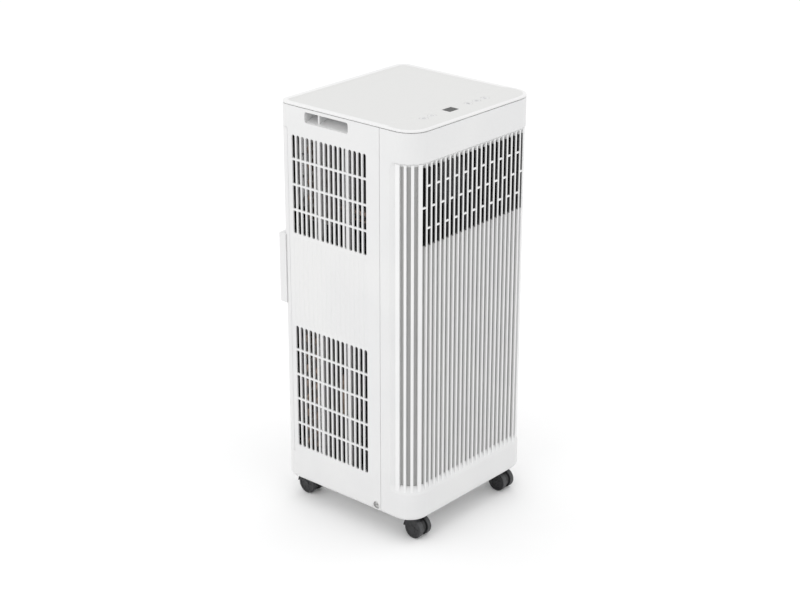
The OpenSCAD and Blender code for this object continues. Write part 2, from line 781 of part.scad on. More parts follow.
box_y = [front_y + 14, front_y + 52];

module electrical_box() {
  x0 = -75;
  x1 = 60;
  z0 = exhaust_z0 + 8;
  z1 = deck_z - 3;
  color(black) {
    difference() {
      block([x0, box_y[0], z0], [x1, box_y[1], z1]);
      block([x0 + 2, box_y[0] - 1, z0 + 2], [x1 - 2, box_y[1] - 2, z1 - 2]);
    }
    block([x0 + 10, box_y[1] - 14, z0 + 12], [x1 - 10, box_y[1] - 12, z1 - 12]);
    block([x0 + 20, box_y[1] - 12.5, z0 + 20], [x0 + 40, box_y[1] - 1, z0 + 40]);
    block([x1 - 60, box_y[1] - 12.5, z0 + 20], [x1 - 30, box_y[1] - 1, z0 + 60]);
  }
}

module run_capacitor() {
  color(steel) translate([60 + 19, (box_y[0] + box_y[1]) / 2, deck_z - 73]) {
    cylinder(r = 18, h = 70);
    translate([-19, -6, 10]) cube([4, 12, 30]);
  }
}

// ---- small outer pieces ----

module drain_plug() {
  color(black) translate([0, 0, drain_z]) {
    rotate([-90, 0, 0]) {
      translate([0, 0, rear_y - 14]) cylinder(r = drain_r - run_gap, h = 14.5);
      translate([0, 0, rear_y + 0.4]) cylinder(r = 10, h = 2);
    }
    block([-8, rear_y + 2, -1.5], [8, rear_y + exhaust_proud, 1.5]);
  }
}

module cord_gland() {
  color(black) translate([gland_xz[0], 0, gland_xz[1]]) rotate([-90, 0, 0]) difference() {
    union() {
      translate([0, 0, rear_y]) cylinder(r = 12, h = 2);
      translate([0, 0, rear_y + 1.9]) cylinder(r1 = 8, r2 = 6, h = exhaust_proud - 2);
      translate([0, 0, rear_y - 6]) cylinder(r = 9 - run_gap, h = 7);
      translate([0, 0, rear_y - 6]) cylinder(r = 12, h = 3.4);
    }
    translate([0, 0, rear_y - 10]) cylinder(r = 4, h = 30);
  }
}

// pan-head screw along +Z, its head's face at z = 0
module pan_screw(length) {
  difference() {
    union() {
      translate([0, 0, -2.2]) cylinder(r = 4, h = 2.2);
      translate([0, 0, -length]) cylinder(r = 1.9, h = length - 2);
    }
    for (a = [0, 90]) rotate(a) translate([-2.2, -0.45, -1.2]) cube([4.4, 0.9, 3]);
  }
}

module shell_screws() {
  color(steel) {
    for (s = [-1, 1]) translate([s * (half_w - 2.7), side_screw[0], side_screw[1]])
      rotate([0, s * 90, 0]) pan_screw(14);
    for (x = [-1, 1], z = [panel_z0 + 9, panel_z1 - 9])
      translate([x * 112, rear_y + 2.2, z]) rotate([-90, 0, 0]) pan_screw(12);
  }
}

// ---- casters ----

module caster_stems() {
  color(steel) for (x = [-1, 1], y = [caster_y_front, caster_y_rear])
    translate([x * caster_x, y + caster_trail, 0]) {
      translate([0, 0, base_z - 13]) cylinder(r = stem_r - run_gap, h = 27);
      translate([0, 0, base_z - 1.2]) cylinder(r = 8, h = 1.7);
    }
}

// the hood wraps the upper rear part of both wheels and carries the axle
module caster_hood(x, y) {
  half_span = wheel_gap / 2 + wheel_w;
  hood_r = wheel_r + 2.6;
  color(black) translate([x, y, wheel_r]) difference() {
    union() {
      translate([-wheel_gap / 2 + 0.3, 0, 0]) rotate([0, 90, 0])
        cylinder(r = wheel_r - 3, h = wheel_gap - 0.6);
      translate([-wheel_gap / 2 + 0.3, 0, 0]) cube([wheel_gap - 0.6, caster_trail + 7, 17]);
      difference() {
        translate([-half_span, 0, 0]) rotate([0, 90, 0]) cylinder(r = hood_r, h = 2 * half_span);
        translate([-half_span - 1, 0, 0]) rotate([0, 90, 0])
          cylinder(r = wheel_r + 0.6, h = 2 * half_span + 2);
        translate([-half_span - 1, -hood_r - 1, -hood_r - 1])
          cube([2 * half_span + 2, 2 * hood_r + 2, hood_r + 2]);
        translate([-half_span - 1, -hood_r - 1, -1]) cube([2 * half_span + 2, hood_r - 5, hood_r + 2]);
      }
      difference() {
        translate([0, caster_trail, 0]) cylinder(r = 7, h = base_z - wheel_r);
        for (s = [0, 1]) mirror([s, 0, 0]) translate([wheel_gap / 2 - 0.3, 0, 0])
          rotate([0, 90, 0]) cylinder(r = wheel_r + 0.6, h = 20);
      }
    }
    translate([0, caster_trail, base_z - wheel_r - 13.5]) cylinder(r = stem_r, h = 40);
    translate([-20, 0, 0]) rotate([0, 90, 0]) cylinder(r = axle_r, h = 40);
    translate([-30, -30, base_z - wheel_r - 1.6]) cube(60);
  }
}

module caster_axle(x, y) {
  half_span = wheel_gap / 2 + wheel_w - 2;
  color(steel) translate([x - half_span, y, wheel_r]) rotate([0, 90, 0])
    cylinder(r = axle_r, h = 2 * half_span);
}

module caster_wheel(x, y, side) {
  color(black) translate([x, y, wheel_r]) rotate([0, side * 90, 0]) difference() {
    union() {
      translate([0, 0, wheel_gap / 2 + 1.2]) cylinder(r = wheel_r, h = wheel_w - 2.4);
      translate([0, 0, wheel_gap / 2]) cylinder(r = wheel_r - 1.2, h = wheel_w);
    }
    translate([0, 0, wheel_gap / 2 + wheel_w - 1]) cylinder(r = wheel_r - 4, h = 2);
    translate([0, 0, wheel_gap / 2 - 1]) cylinder(r = axle_r + run_gap, h = wheel_w - 0.8);
  }
}

base_pan();
front_shell();
front_grille();
side_shell(-1);  // side_shell_left
side_shell(1);  // side_shell_right
grip_cups();
rear_panel();
top_cover();
display_window();
control_board();
key_cap(key_x[0]);  // power_key
key_cap(key_x[1]);  // mode_key
key_cap(key_x[2]);  // speed_key
key_cap(key_x[3]);  // timer_key
key_cap(key_x[4]);  // sleep_key
exhaust_frame();
air_filter(upper_window_z);  // upper_air_filter
air_filter(lower_window_z);  // lower_air_filter
partition();
water_tray();
compressor();
accumulator();
compressor_grommets();
coil_fins(condenser_y, condenser_z, pan_top_z);  // condenser_fins
coil_tubes(condenser_y, condenser_z);  // condenser_tubes
coil_fins(evaporator_y, evaporator_z, deck_z + 2.5);  // evaporator_fins
coil_tubes(evaporator_y, evaporator_z);  // evaporator_tubes
blower_wheel();
blower_scroll();
blower_motor();
exhaust_wheel();
exhaust_scroll();
exhaust_motor();
splash_wheel();
splash_motor();
discharge_pipe();
liquid_line();
suction_pipe();
electrical_box();
run_capacitor();
drain_plug();
cord_gland();
shell_screws();
caster_stems();
caster_hood(-caster_x, caster_y_front);  // hood_front_left
caster_hood(caster_x, caster_y_front);  // hood_front_right
caster_hood(-caster_x, caster_y_rear);  // hood_rear_left
caster_hood(caster_x, caster_y_rear);  // hood_rear_right
caster_axle(-caster_x, caster_y_front);  // axle_front_left
caster_axle(caster_x, caster_y_front);  // axle_front_right
caster_axle(-caster_x, caster_y_rear);  // axle_rear_left
caster_axle(caster_x, caster_y_rear);  // axle_rear_right
caster_wheel(-caster_x, caster_y_front, -1);  // wheel_front_left_outer
caster_wheel(-caster_x, caster_y_front, 1);  // wheel_front_left_inner
caster_wheel(caster_x, caster_y_front, 1);  // wheel_front_right_outer
caster_wheel(caster_x, caster_y_front, -1);  // wheel_front_right_inner
caster_wheel(-caster_x, caster_y_rear, -1);  // wheel_rear_left_outer
caster_wheel(-caster_x, caster_y_rear, 1);  // wheel_rear_left_inner
caster_wheel(caster_x, caster_y_rear, 1);  // wheel_rear_right_outer
caster_wheel(caster_x, caster_y_rear, -1);  // wheel_rear_right_inner
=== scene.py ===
# %% [markdown]
# # Portable air conditioner
#
# The machine is a tall white moulded casing on four twin-wheel casters. An engineering model already
# says where every part is and how it moves, so this lesson only gives the parts their finished surface.
# The mouldings that show are built again with rounded edges, and the inner parts keep their own mesh
# and get a better finish. Everything is in metres, with the front facing -Y and the floor at z = 0.

# %% Load the frame
import json
import math

import bmesh
import bpy
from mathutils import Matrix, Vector


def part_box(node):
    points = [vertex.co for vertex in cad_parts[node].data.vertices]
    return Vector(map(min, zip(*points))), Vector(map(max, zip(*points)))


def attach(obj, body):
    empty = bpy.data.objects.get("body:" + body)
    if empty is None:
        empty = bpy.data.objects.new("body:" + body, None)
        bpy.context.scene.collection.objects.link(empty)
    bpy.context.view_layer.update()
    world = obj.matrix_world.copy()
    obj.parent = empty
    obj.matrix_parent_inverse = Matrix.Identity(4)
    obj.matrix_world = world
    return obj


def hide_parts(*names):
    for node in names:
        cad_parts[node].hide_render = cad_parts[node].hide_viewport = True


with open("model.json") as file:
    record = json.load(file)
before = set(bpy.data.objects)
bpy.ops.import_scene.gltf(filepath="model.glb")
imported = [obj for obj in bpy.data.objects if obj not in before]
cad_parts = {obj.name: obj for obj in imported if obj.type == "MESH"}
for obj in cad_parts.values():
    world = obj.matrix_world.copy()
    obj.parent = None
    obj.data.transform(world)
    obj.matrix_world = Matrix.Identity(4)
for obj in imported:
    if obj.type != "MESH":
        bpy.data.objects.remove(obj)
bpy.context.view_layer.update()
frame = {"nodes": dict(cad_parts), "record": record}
MM = 0.001

# %% [markdown]
# ## Sizes from the frame
#
# The casing is one upright wall whose outline is a rectangle with rounded corners. Its limits are read
# from the frame, so the mouldings below fit without any adjusting. Only what a box can't tell is named
# here: the corner radii, the wall thickness and the pattern of slots.

# %% Read the sizes
side_low, side_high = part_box("side_shell_right")
front_low, front_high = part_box("front_shell")
grille_low, grille_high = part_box("front_grille")
panel_low, panel_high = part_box("rear_panel")
top_low, top_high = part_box("top_cover")
HALF_W = side_high.x
FRONT_Y = front_low.y
REAR_Y = side_high.y
FOOT_Z = side_low.z
SHOULDER_Z = side_high.z
FRONT_R = 34 * MM
REAR_R = 19 * MM
WALL = 2.5 * MM
SOFT = 0.5 * MM        # how far the edge of a moulding is broken
FOOT_ROUND = 8 * MM    # rounding of the casing's lowest edge
HAIR = MM / 9          # the straight bit kept between two corner arcs, and a tolerance
RECESS = (grille_low.z - 0.2 * MM, grille_high.z + 0.2 * MM)
RECESS_Y = grille_high.y + 0.2 * MM
print("casing:", [round(v / MM, 1) for v in (2 * HALF_W, REAR_Y - FRONT_Y, SHOULDER_Z - FOOT_Z)], "mm")

# %% [markdown]
# ## Shader maths as Python
#
# A finish is a small network of shader nodes. Wrapping a socket in a class that understands + and *
# lets the network be written as a sum, which is far easier to read than a list of links. Numbers that
# don't change over the surface go straight onto the shader's own sockets.

# %% Term and Finish
class Term:
    """A shader socket that can stand in a sum or a product."""

    def __init__(self, finish, socket):
        self.finish = finish
        self.socket = socket

    def maths(self, operation, first, second):
        return self.finish.node("ShaderNodeMath", {"operation": operation}, {0: first, 1: second})

    def __add__(self, other):
        return self.maths("ADD", self, other)

    __radd__ = __add__

    def __sub__(self, other):
        return self.maths("SUBTRACT", self, other)

    def __rsub__(self, other):
        return self.maths("SUBTRACT", other, self)

    def __mul__(self, other):
        return self.maths("MULTIPLY", self, other)

    __rmul__ = __mul__

    def __gt__(self, other):
        return self.maths("GREATER_THAN", self, other)

    def __lt__(self, other):
        return self.maths("LESS_THAN", self, other)


class Finish:
    """A material being put together round one Principled shader."""

    def __init__(self, name, **sockets):
        self.material = bpy.data.materials.new(name)
        self.material.use_nodes = True
        self.tree = self.material.node_tree
        self.tree.nodes.clear()
        self.shader = self.tree.nodes.new("ShaderNodeBsdfPrincipled")
        output = self.tree.nodes.new("ShaderNodeOutputMaterial")
        self.tree.links.new(self.shader.outputs[0], output.inputs[0])
        self.put(**sockets)

    def join(self, socket, value):
        if isinstance(value, Term):
            self.tree.links.new(value.socket, socket)
        else:
            socket.default_value = value

    def put(self, **sockets):
        for name, value in sockets.items():
            self.join(self.shader.inputs[name.replace("_", " ")], value)

    def node(self, kind, settings, inputs, output=0):
        """Adds any node: its settings first, then the values or links of its sockets."""
        added = self.tree.nodes.new(kind)
        for name, value in settings.items():
            if name == "stops":
                ends = added.color_ramp.elements
                for place, stop in enumerate(value):
                    element = ends[place] if place < 2 else ends.new(stop[0])
                    element.position = stop[0]
                    element.color = stop[1]
            else:
                setattr(added, name, value)
        for name, value in inputs.items():
            self.join(added.inputs[name], value)
        return Term(self, added.outputs[output])

    def where(self):
        return self.node("ShaderNodeTexCoord", {}, {}, "Object")

    def noise(self, size, detail=2.0, stretch=(1, 1, 1)):
        """Cloudy noise whose blobs are about size metres across, stretched along the axes."""
        spread = self.node("ShaderNodeVectorMath", {"operation": "MULTIPLY"},
                           {0: self.where(), 1: tuple(1 / (size * s) for s in stretch)})
        return self.node("ShaderNodeTexNoise", {}, {"Vector": spread, "Scale": 1.0, "Detail": detail})

    def ramp(self, value, low, high, first=0.0, last=1.0):
        """value carried smoothly from the range low..high to first..last."""
        return self.node("ShaderNodeMapRange", {"interpolation_type": "SMOOTHSTEP"},
                         {0: value, 1: low, 2: high, 3: first, 4: last})

    def mix(self, mask, first, second):
        colours = {6: (*first, 1) if isinstance(first, tuple) else first,
                   7: (*second, 1) if isinstance(second, tuple) else second}
        return self.node("ShaderNodeMix", {"data_type": "RGBA"}, {0: mask, **colours}, 2)

    def bump(self, height, depth, strength=1.0):
        self.put(Normal=self.node("ShaderNodeBump", {},
                                  {"Height": height, "Distance": depth, "Strength": strength}))


print("finish tools ready")

# %% [markdown]
# ## White mouldings
#
# The casing is white ABS with a fine spark-eroded texture: it looks satin, not glossy, and each slot and
# groove is a little rougher than the open faces because the mould can't be polished there. The texture is
# a bump from fine noise, the tone drifts slightly over large areas, and the meshes carry how deep each
# point lies below the face, so that the grooves are painted darker by their depth as painted shade.

# %% Finishes of the white mouldings
# painted shade: below these depths the white turns to its darker groove tone
SHADE_DEPTHS = (3.6, 6.2)      # the depths in mm between which a finish turns to its deep tone
UNLIT = (11.0, 13.0)   # and those between which it turns dark, reached only by marked points
UNLIT_TONE = (0.06, 0.06, 0.061)
SLOT_MARK = 9.0        # added to the depth inside an open slot, so that it counts as unlit
# painted shade: the lid's flat is marked so that it is painted darker than its rim, which then reads as a lit
# edge
FLAT_SHADE_MARK = 8.0        # stands for the depth of the lid's flat, which takes the deep tone


def white_moulding(name, tone, shade_tone, rough, grain, grain_depth):
    """White plastic with tone on its open faces and a darker tone, painted shade, in its grooves."""
    finish = Finish(name)
    drift = finish.noise(90 * MM, 1.0)
    speck = finish.noise(1.7 * MM, 3.0)
    open_face = finish.mix(finish.ramp(drift + 0.25 * speck, 0.45, 0.85),
                           tuple(tone * c for c in (1.0, 1.0, 0.998)),
                           tuple(tone * c for c in (0.972, 0.973, 0.976)))
    depth = finish.node("ShaderNodeAttribute", {"attribute_name": "depth"}, {}, "Fac")
    # painted shade: points deep in a groove are painted towards the darker tone, and the same mask makes them
    # rougher
    deep = finish.ramp(depth, *SHADE_DEPTHS)
    painted_shade = finish.mix(deep, open_face, (shade_tone, shade_tone, shade_tone * 0.99))
    # painted shade: marked points inside the open slots are painted nearly black
    finish.put(Base_Color=finish.mix(finish.ramp(depth, *UNLIT), painted_shade, UNLIT_TONE),
               Roughness=rough + 0.10 * speck + 0.15 * deep)
    finish.bump(finish.noise(grain, 2.0), grain_depth)
    return finish.material


def plain_moulding(name, low, high, rough, grain=0.4 * MM, grain_depth=0.02 * MM, gloss=0.5):
    """A moulding of one colour, whose tone drifts between low and high."""
    finish = Finish(name, Specular_IOR_Level=gloss)
    cloud = finish.noise(14 * MM, 4.0)
    speck = finish.noise(1.2 * MM, 2.0)
    finish.put(Base_Color=finish.mix(finish.ramp(0.7 * cloud + 0.3 * speck, 0.35, 0.7), low, high),
               Roughness=rough + 0.12 * cloud)
    finish.bump(finish.noise(grain, 2.0), grain_depth)
    return finish.material


casing_white = white_moulding("casing white", 0.705, 0.50, 0.40, 0.45 * MM, 0.014 * MM)
slat_white = white_moulding("slat white", 0.77, 0.34, 0.42, 0.45 * MM, 0.012 * MM)
top_white = white_moulding("top white", 0.74, 0.645, 0.46, 0.35 * MM, 0.016 * MM)
key_white = white_moulding("key white", 0.64, 0.60, 0.38, 0.35 * MM, 0.008 * MM)
# painted shade: the back faces of the white casing are painted near black, standing for the dark inside
shaded_casing_back = plain_moulding("back of the casing in painted shade", (0.008, 0.008, 0.008), (0.014, 0.014, 0.014), 0.8,
                             gloss=0.15)
# charcoal plastic of the inner parts, painted darker than any plastic as the shade inside; on the back faces
# of the ribbed panel it is painted shade only
charcoal_and_shade = plain_moulding("charcoal moulding and painted shade", (0.006, 0.006, 0.006), (0.013, 0.013, 0.014), 0.7, gloss=0.15)
caster_black = plain_moulding("caster black", (0.012, 0.012, 0.013), (0.024, 0.024, 0.026), 0.36)
# painted light: the tread is painted paler than the caster black
tread_painted_light = plain_moulding("tread grey, painted light", (0.032, 0.033, 0.035), (0.052, 0.053, 0.056), 0.42,
                            0.7 * MM, 0.05 * MM)
rubber_black = plain_moulding("rubber black", (0.016, 0.016, 0.016), (0.030, 0.030, 0.031), 0.66,
                              0.8 * MM, 0.04 * MM)
ink_grey = plain_moulding("grey ink", (0.34, 0.34, 0.35), (0.42, 0.42, 0.43), 0.5)
print("mouldings:", sum(m.name.count("white") for m in bpy.data.materials), "white finishes")

# %% [markdown]
# ## Metals, net, glass and board
#
# Coil fins are bare aluminium foil in packs, so they get fine upright lines with painted shade between
# them; copper tube is drawn and a little tarnished; motor cans and screws are zinc plated. The display
# is a smoked window over a dark module. All of them are short networks made with the same tools.

# %% Finishes of the metals and small parts
FINER = 9    # how many times smaller the scratches of a metal are than its clouds


def metal(name, low, high, rough, blob, stretch=(1, 1, 1), scratch=0.02 * MM, metallic=1.0):
    finish = Finish(name, Metallic=metallic)
    cloud = finish.noise(blob, 4.0, stretch)
    fine = finish.noise(blob / FINER, 2.0, stretch)
    finish.put(Base_Color=finish.mix(finish.ramp(0.6 * cloud + 0.4 * fine, 0.35, 0.68), low, high),
               Roughness=rough + 0.25 * cloud)
    finish.bump(fine, scratch)
    return finish.material


def fin_pack():
    """Foil edges as fine upright lines, with painted shade in the gaps and dust between them."""
    finish = Finish("fin aluminium", Metallic=0.65)
    lines = finish.node("ShaderNodeTexWave", {"wave_type": "BANDS", "bands_direction": "X"},
                        {"Vector": finish.where(), "Scale": 260.0, "Distortion": 0.6, "Detail": 2.0}, "Fac")
    dust = finish.noise(25 * MM, 4.0, (1, 1, 3))
    # painted shade: the dark bands between the bright foil edges stand for the shade in the gaps
    bare = finish.mix(lines, (0.16, 0.155, 0.15), (0.62, 0.61, 0.59))
    finish.put(Base_Color=finish.mix(finish.ramp(dust, 0.45, 0.75, 0.0, 0.6), bare, (0.42, 0.39, 0.35)),
               Roughness=0.35 + 0.3 * dust)
    finish.bump(lines, 0.15 * MM)
    return finish.material


def smoked_glass():
    finish = Finish("smoked glass", Specular_IOR_Level=0.12)
    haze = finish.noise(6 * MM, 2.0)
    finish.put(Base_Color=finish.mix(haze, (0.002, 0.002, 0.002), (0.005, 0.005, 0.006)),
               Roughness=0.10 + 0.08 * haze)
    return finish.material


def solder_mask():
    finish = Finish("solder mask", Coat_Weight=0.4)
    pads = finish.node("ShaderNodeTexVoronoi", {"feature": "F1"},
                       {"Vector": finish.where(), "Scale": 300.0}, "Distance")
    finish.put(Base_Color=finish.mix(pads < 0.22, (0.02, 0.13, 0.05), (0.5, 0.45, 0.3)),
               Roughness=0.3 + 0.2 * pads)
    finish.bump(pads, 0.1 * MM)
    return finish.material


fin_aluminium = fin_pack()
copper_tube = metal("copper tube", (0.15, 0.115, 0.095), (0.38, 0.29, 0.24), 0.30, 16 * MM)
motor_steel = metal("motor steel", (0.05, 0.05, 0.052), (0.16, 0.16, 0.165), 0.38, 10 * MM, (1, 1, 4))
screw_steel = metal("screw steel", (0.42, 0.42, 0.42), (0.74, 0.74, 0.73), 0.22, 2 * MM)
compressor_paint = metal("compressor paint", (0.012, 0.012, 0.013), (0.03, 0.03, 0.032), 0.30, 9 * MM,
                         metallic=0.1)
net_grey = plain_moulding("net grey", (0.10, 0.105, 0.11), (0.17, 0.175, 0.18), 0.5)
display_glass = smoked_glass()
circuit_green = solder_mask()
print("materials so far:", len(bpy.data.materials))

# %% [markdown]
# ## The outline as a path
#
# Front, sides and rear are one wall that turns four corners. If a moulding is drawn flat, as a distance
# along the outline, a height and a depth below the face, the same code makes a flat side and a slotted
# panel that wraps round a corner. This function bends the flat drawing into place.

# %% Bend the drawing round the casing
FRONT_FLAT = HALF_W - FRONT_R
SIDE_FLAT = REAR_Y - REAR_R - FRONT_Y - FRONT_R
FRONT_ARC = FRONT_R * math.pi / 2
REAR_ARC = REAR_R * math.pi / 2
HALF_ROUND = FRONT_FLAT + FRONT_ARC + SIDE_FLAT + REAR_ARC + HALF_W - REAR_R


def outline(u):
    """The point on the outline u metres round from the middle of the front, and the way in from it."""
    u = (u + HALF_ROUND) % (2 * HALF_ROUND) - HALF_ROUND
    hand = -1 if u < 0 else 1
    u = abs(u)
    side = FRONT_FLAT + FRONT_ARC
    rear = side + SIDE_FLAT
    if u <= FRONT_FLAT:
        point, inward = (u, FRONT_Y), (0, 1)
    elif u <= side:
        a = (u - FRONT_FLAT) / FRONT_R
        point = (FRONT_FLAT + FRONT_R * math.sin(a), FRONT_Y + FRONT_R - FRONT_R * math.cos(a))
        inward = (-math.sin(a), math.cos(a))
    elif u <= rear:
        point, inward = (HALF_W, FRONT_Y + FRONT_R + u - side), (-1, 0)
    elif u <= rear + REAR_ARC:
        a = (u - rear) / REAR_R
        point = (HALF_W - REAR_R + REAR_R * math.cos(a), REAR_Y - REAR_R + REAR_R * math.sin(a))
        inward = (-math.cos(a), -math.sin(a))
    else:
        point, inward = (HALF_ROUND - u, REAR_Y), (0, -1)
    return Vector((hand * point[0], point[1])), Vector((hand * inward[0], inward[1]))


def on_casing(u, z, depth):
    """A point of the casing's wall; the wall curls in at its lowest edge."""
    rise = max(0.0, FOOT_ROUND - (z - FOOT_Z))
    curl = FOOT_ROUND - math.sqrt(FOOT_ROUND ** 2 - min(rise, FOOT_ROUND) ** 2)
    point, inward = outline(u)
    point = point + inward * max(depth, curl + min(depth, MM))
    return Vector((point.x, point.y, z))


def side_u(y):
    return FRONT_FLAT + FRONT_ARC + y - FRONT_Y - FRONT_R


def rear_u(x):
    return HALF_ROUND - x


print("half the way round:", round(HALF_ROUND / MM), "mm")

# %% [markdown]
# ## Sheets with openings
#
# A slotted panel could be cut with booleans, but hundreds of cuts give untidy meshes. Here each opening
# is a cell of a grid instead: a rectangle whose inner edge is the opening's own outline, followed by
# rings that turn the edge over and down. Neighbouring cells share their corners, so the sheet is one
# clean surface. Closing it with a back face and with walls round every free edge makes it a solid.

# %% Mesh tools
def to_object(name, mesh_data, finishes, sharp=50):
    """Turns a bmesh into a smooth-shaded object whose edges above sharp degrees stay crisp."""
    for face in mesh_data.faces:
        face.smooth = True
    for edge in mesh_data.edges:
        if len(edge.link_faces) == 2 and edge.calc_face_angle() > math.radians(sharp):
            edge.smooth = False
    mesh = bpy.data.meshes.new(name)
    mesh_data.to_mesh(mesh)
    mesh_data.free()
    for finish in finishes:
        mesh.materials.append(finish)
    made = bpy.data.objects.new(name, mesh)
    bpy.context.scene.collection.objects.link(made)
    made.modifiers.new("Even normals", "WEIGHTED_NORMAL").keep_sharp = True
    return made


def rectangle(low, high):
    """The corners of a rectangle in order."""
    return [(low[0], low[1]), (high[0], low[1]), (high[0], high[1]), (low[0], high[1])]


def skin(mesh_data, rows):
    """The faces between each loop of vertices and the next."""
    faces = []
    for first, second in zip(rows, rows[1:]):
        for i in range(len(first)):
            j = (i + 1) % len(first)
            faces.append(mesh_data.faces.new((first[i], first[j], second[j], second[i])))
    return faces


def add_loops(mesh_data, loops, finish=0):
    """A closed skin over loops of points, capped at both ends. Returns its faces."""
    rows = [[mesh_data.verts.new(p) for p in loop] for loop in loops]
    faces = [mesh_data.faces.new(rows[0]), mesh_data.faces.new(list(reversed(rows[-1])))]
    faces += skin(mesh_data, rows)
    for face in faces:
        face.material_index = finish
    bmesh.ops.recalc_face_normals(mesh_data, faces=faces)
    return faces


def rounded(u, z, w, h, low_r, high_r=None, steps=4):
    """The outline of an opening, as a function of how much it is grown: four corner arcs of points."""
    def arcs(grow):
        found = []
        for k, (su, sz) in enumerate(((-1, -1), (1, -1), (1, 1), (-1, 1))):
            r = max((low_r if sz < 0 or high_r is None else high_r) + grow, 0.2 * MM)
            turn = [math.pi * (1 + k / 2) + i * math.pi / 2 / steps for i in range(steps + 1)]
            mid_u, mid_z = u + su * (w / 2 + grow - r), z + sz * (h / 2 + grow - r)
            found.append([(mid_u + r * math.cos(a), mid_z + r * math.sin(a)) for a in turn])
        return found

    return arcs


class Sheet:
    """A moulding drawn flat: each point is (along, up, depth below the face)."""

    SAME = 0.01 * MM    # points on the same step of this size are one point

    def __init__(self, us, zs):
        self.us = sorted(us)
        self.zs = sorted(zs)
        self.points = []
        self.known = {}
        self.faces = []
        self.taken = []

    def point(self, p):
        key = tuple(round(c / self.SAME) for c in p)
        if key not in self.known:
            self.known[key] = len(self.points)
            self.points.append(p)
        return self.known[key]

    def face(self, *corners):
        ids = []
        for corner in corners:
            i = self.point(corner)
            if i not in ids:
                ids.append(i)
        if len(ids) > 2:
            self.faces.append(ids)

    def join(self, first, second, closed=True):
        for i in range(len(first) if closed else len(first) - 1):
            j = (i + 1) % len(first)
            self.face(first[i], first[j], second[j], second[i])

    def leave(self, u0, u1, z0, z1):
        """Keeps a block free of the faces that fill makes."""
        self.taken.append((u0, u1, z0, z1))

    def fill(self):
        for u0, u1 in zip(self.us, self.us[1:]):
            for z0, z1 in zip(self.zs, self.zs[1:]):
                u, z = (u0 + u1) / 2, (z0 + z1) / 2
                if not any(a < u < b and c < z < d for a, b, c, d in self.taken):
                    self.face(*[(*p, 0.0) for p in rectangle((u0, z0), (u1, z1))])

    def solid(self, place, back, shade=lambda u, z, d: 0.0):
        """The sheet bent into place, with a back face at depth back(depth) and walls round free edges."""
        uses = {}
        for ids in self.faces:
            for a, b in zip(ids, ids[1:] + ids[:1]):
                uses[(min(a, b), max(a, b))] = uses.get((min(a, b), max(a, b)), 0) + 1
        front = len(self.points)
        behind = [self.point((u, z, back(d))) for u, z, d in self.points[:front]]
        mesh_data = bmesh.new()
        layer = mesh_data.verts.layers.float.new("depth")
        verts = []
        for u, z, d in self.points:
            vert = mesh_data.verts.new(place(u, z, d))
            vert[layer] = d / MM + shade(u, z, d)
            verts.append(vert)

        def add(ids, finish):
            kept = list(dict.fromkeys(ids))
            if len(kept) > 2:
                try:
                    mesh_data.faces.new([verts[i] for i in kept]).material_index = finish
                except ValueError:  # the same face is already there
                    pass

        for ids in self.faces:
            add(ids, 0)
            add([behind[i] for i in reversed(ids)], 1)
        for ids in self.faces:
            for a, b in zip(ids, ids[1:] + ids[:1]):
                if uses[(min(a, b), max(a, b))] == 1:
                    add((b, a, behind[a], behind[b]), 0)
        return mesh_data


def solid_block(mesh_data, place, low, high, soften):
    """A block in drawing coordinates (along, up, depth), with its face edges broken."""
    (u0, z0, d0), (u1, z1, d1) = low, high
    loops = []
    for inset, depth in ((soften, d0), (soften * 0.3, d0 + soften * 0.3), (0, d0 + soften), (0, d1)):
        face = rectangle((u0 + inset, z0 + inset), (u1 - inset, z1 - inset))
        loops.append([place(u, z, depth) for u, z in face])
    add_loops(mesh_data, loops)


def stands_for(piece, node):
    """The piece replaces a part of the frame and rides on the same body."""
    body = next(b for b, members in frame["record"]["behaviour"]["bodies"].items() if node in members)
    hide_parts(node)
    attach(piece, body)
    print(piece.name, "on", body, "with", len(piece.data.polygons), "faces")


RIM = ((0.45 * MM, 0.0), (0.15 * MM, 0.13 * MM), (0.0, 0.45 * MM))
print("mesh tools ready")

# %% [markdown]
# ## Front casing
#
# The front casing is one U-shaped moulding that wraps both corners as far as the seam on the sides. A
# wide ribbed panel is let into it, and the edge of that recess is its best feature: a hollow cove at the
# sides and the top, and a sloping sill at the bottom. It is drawn as one opening whose rings go down
# by different amounts on each side.

# %% Front casing
def ease(lines, place=on_casing):
    """place, with the points on the given lines (u0, u1, z0, z1) sunk so that the edge is broken."""
    def eased(u, z, depth):
        near = 0.02 * MM
        if any(a - near < u < b + near and c - near < z < d + near for a, b, c, d in lines):
            depth = max(depth, SOFT)
        return place(u, z, depth)
    return eased


def edge_pair(value, way):
    """A border line and the line that starts its broken edge, on the side way points to."""
    return [value, value + way * 1.3 * SOFT]


FOOT_LINES = [FOOT_Z + FOOT_ROUND * (1 - math.sin(math.radians(a))) for a in range(0, 91, 15)]
ARC_LINES = [FRONT_FLAT + FRONT_ARC * i / 12 for i in range(13)]
SEAM_U = side_u(front_high.y)
RECESS_U = side_u(RECESS_Y)
COVE_SIDE = 9.5 * MM
COVE_TOP = 6 * MM
SILL = 14 * MM
RECESS_R = 10 * MM
MARGIN = 1.5 * MM    # of the cell round an opening that spans its sheet


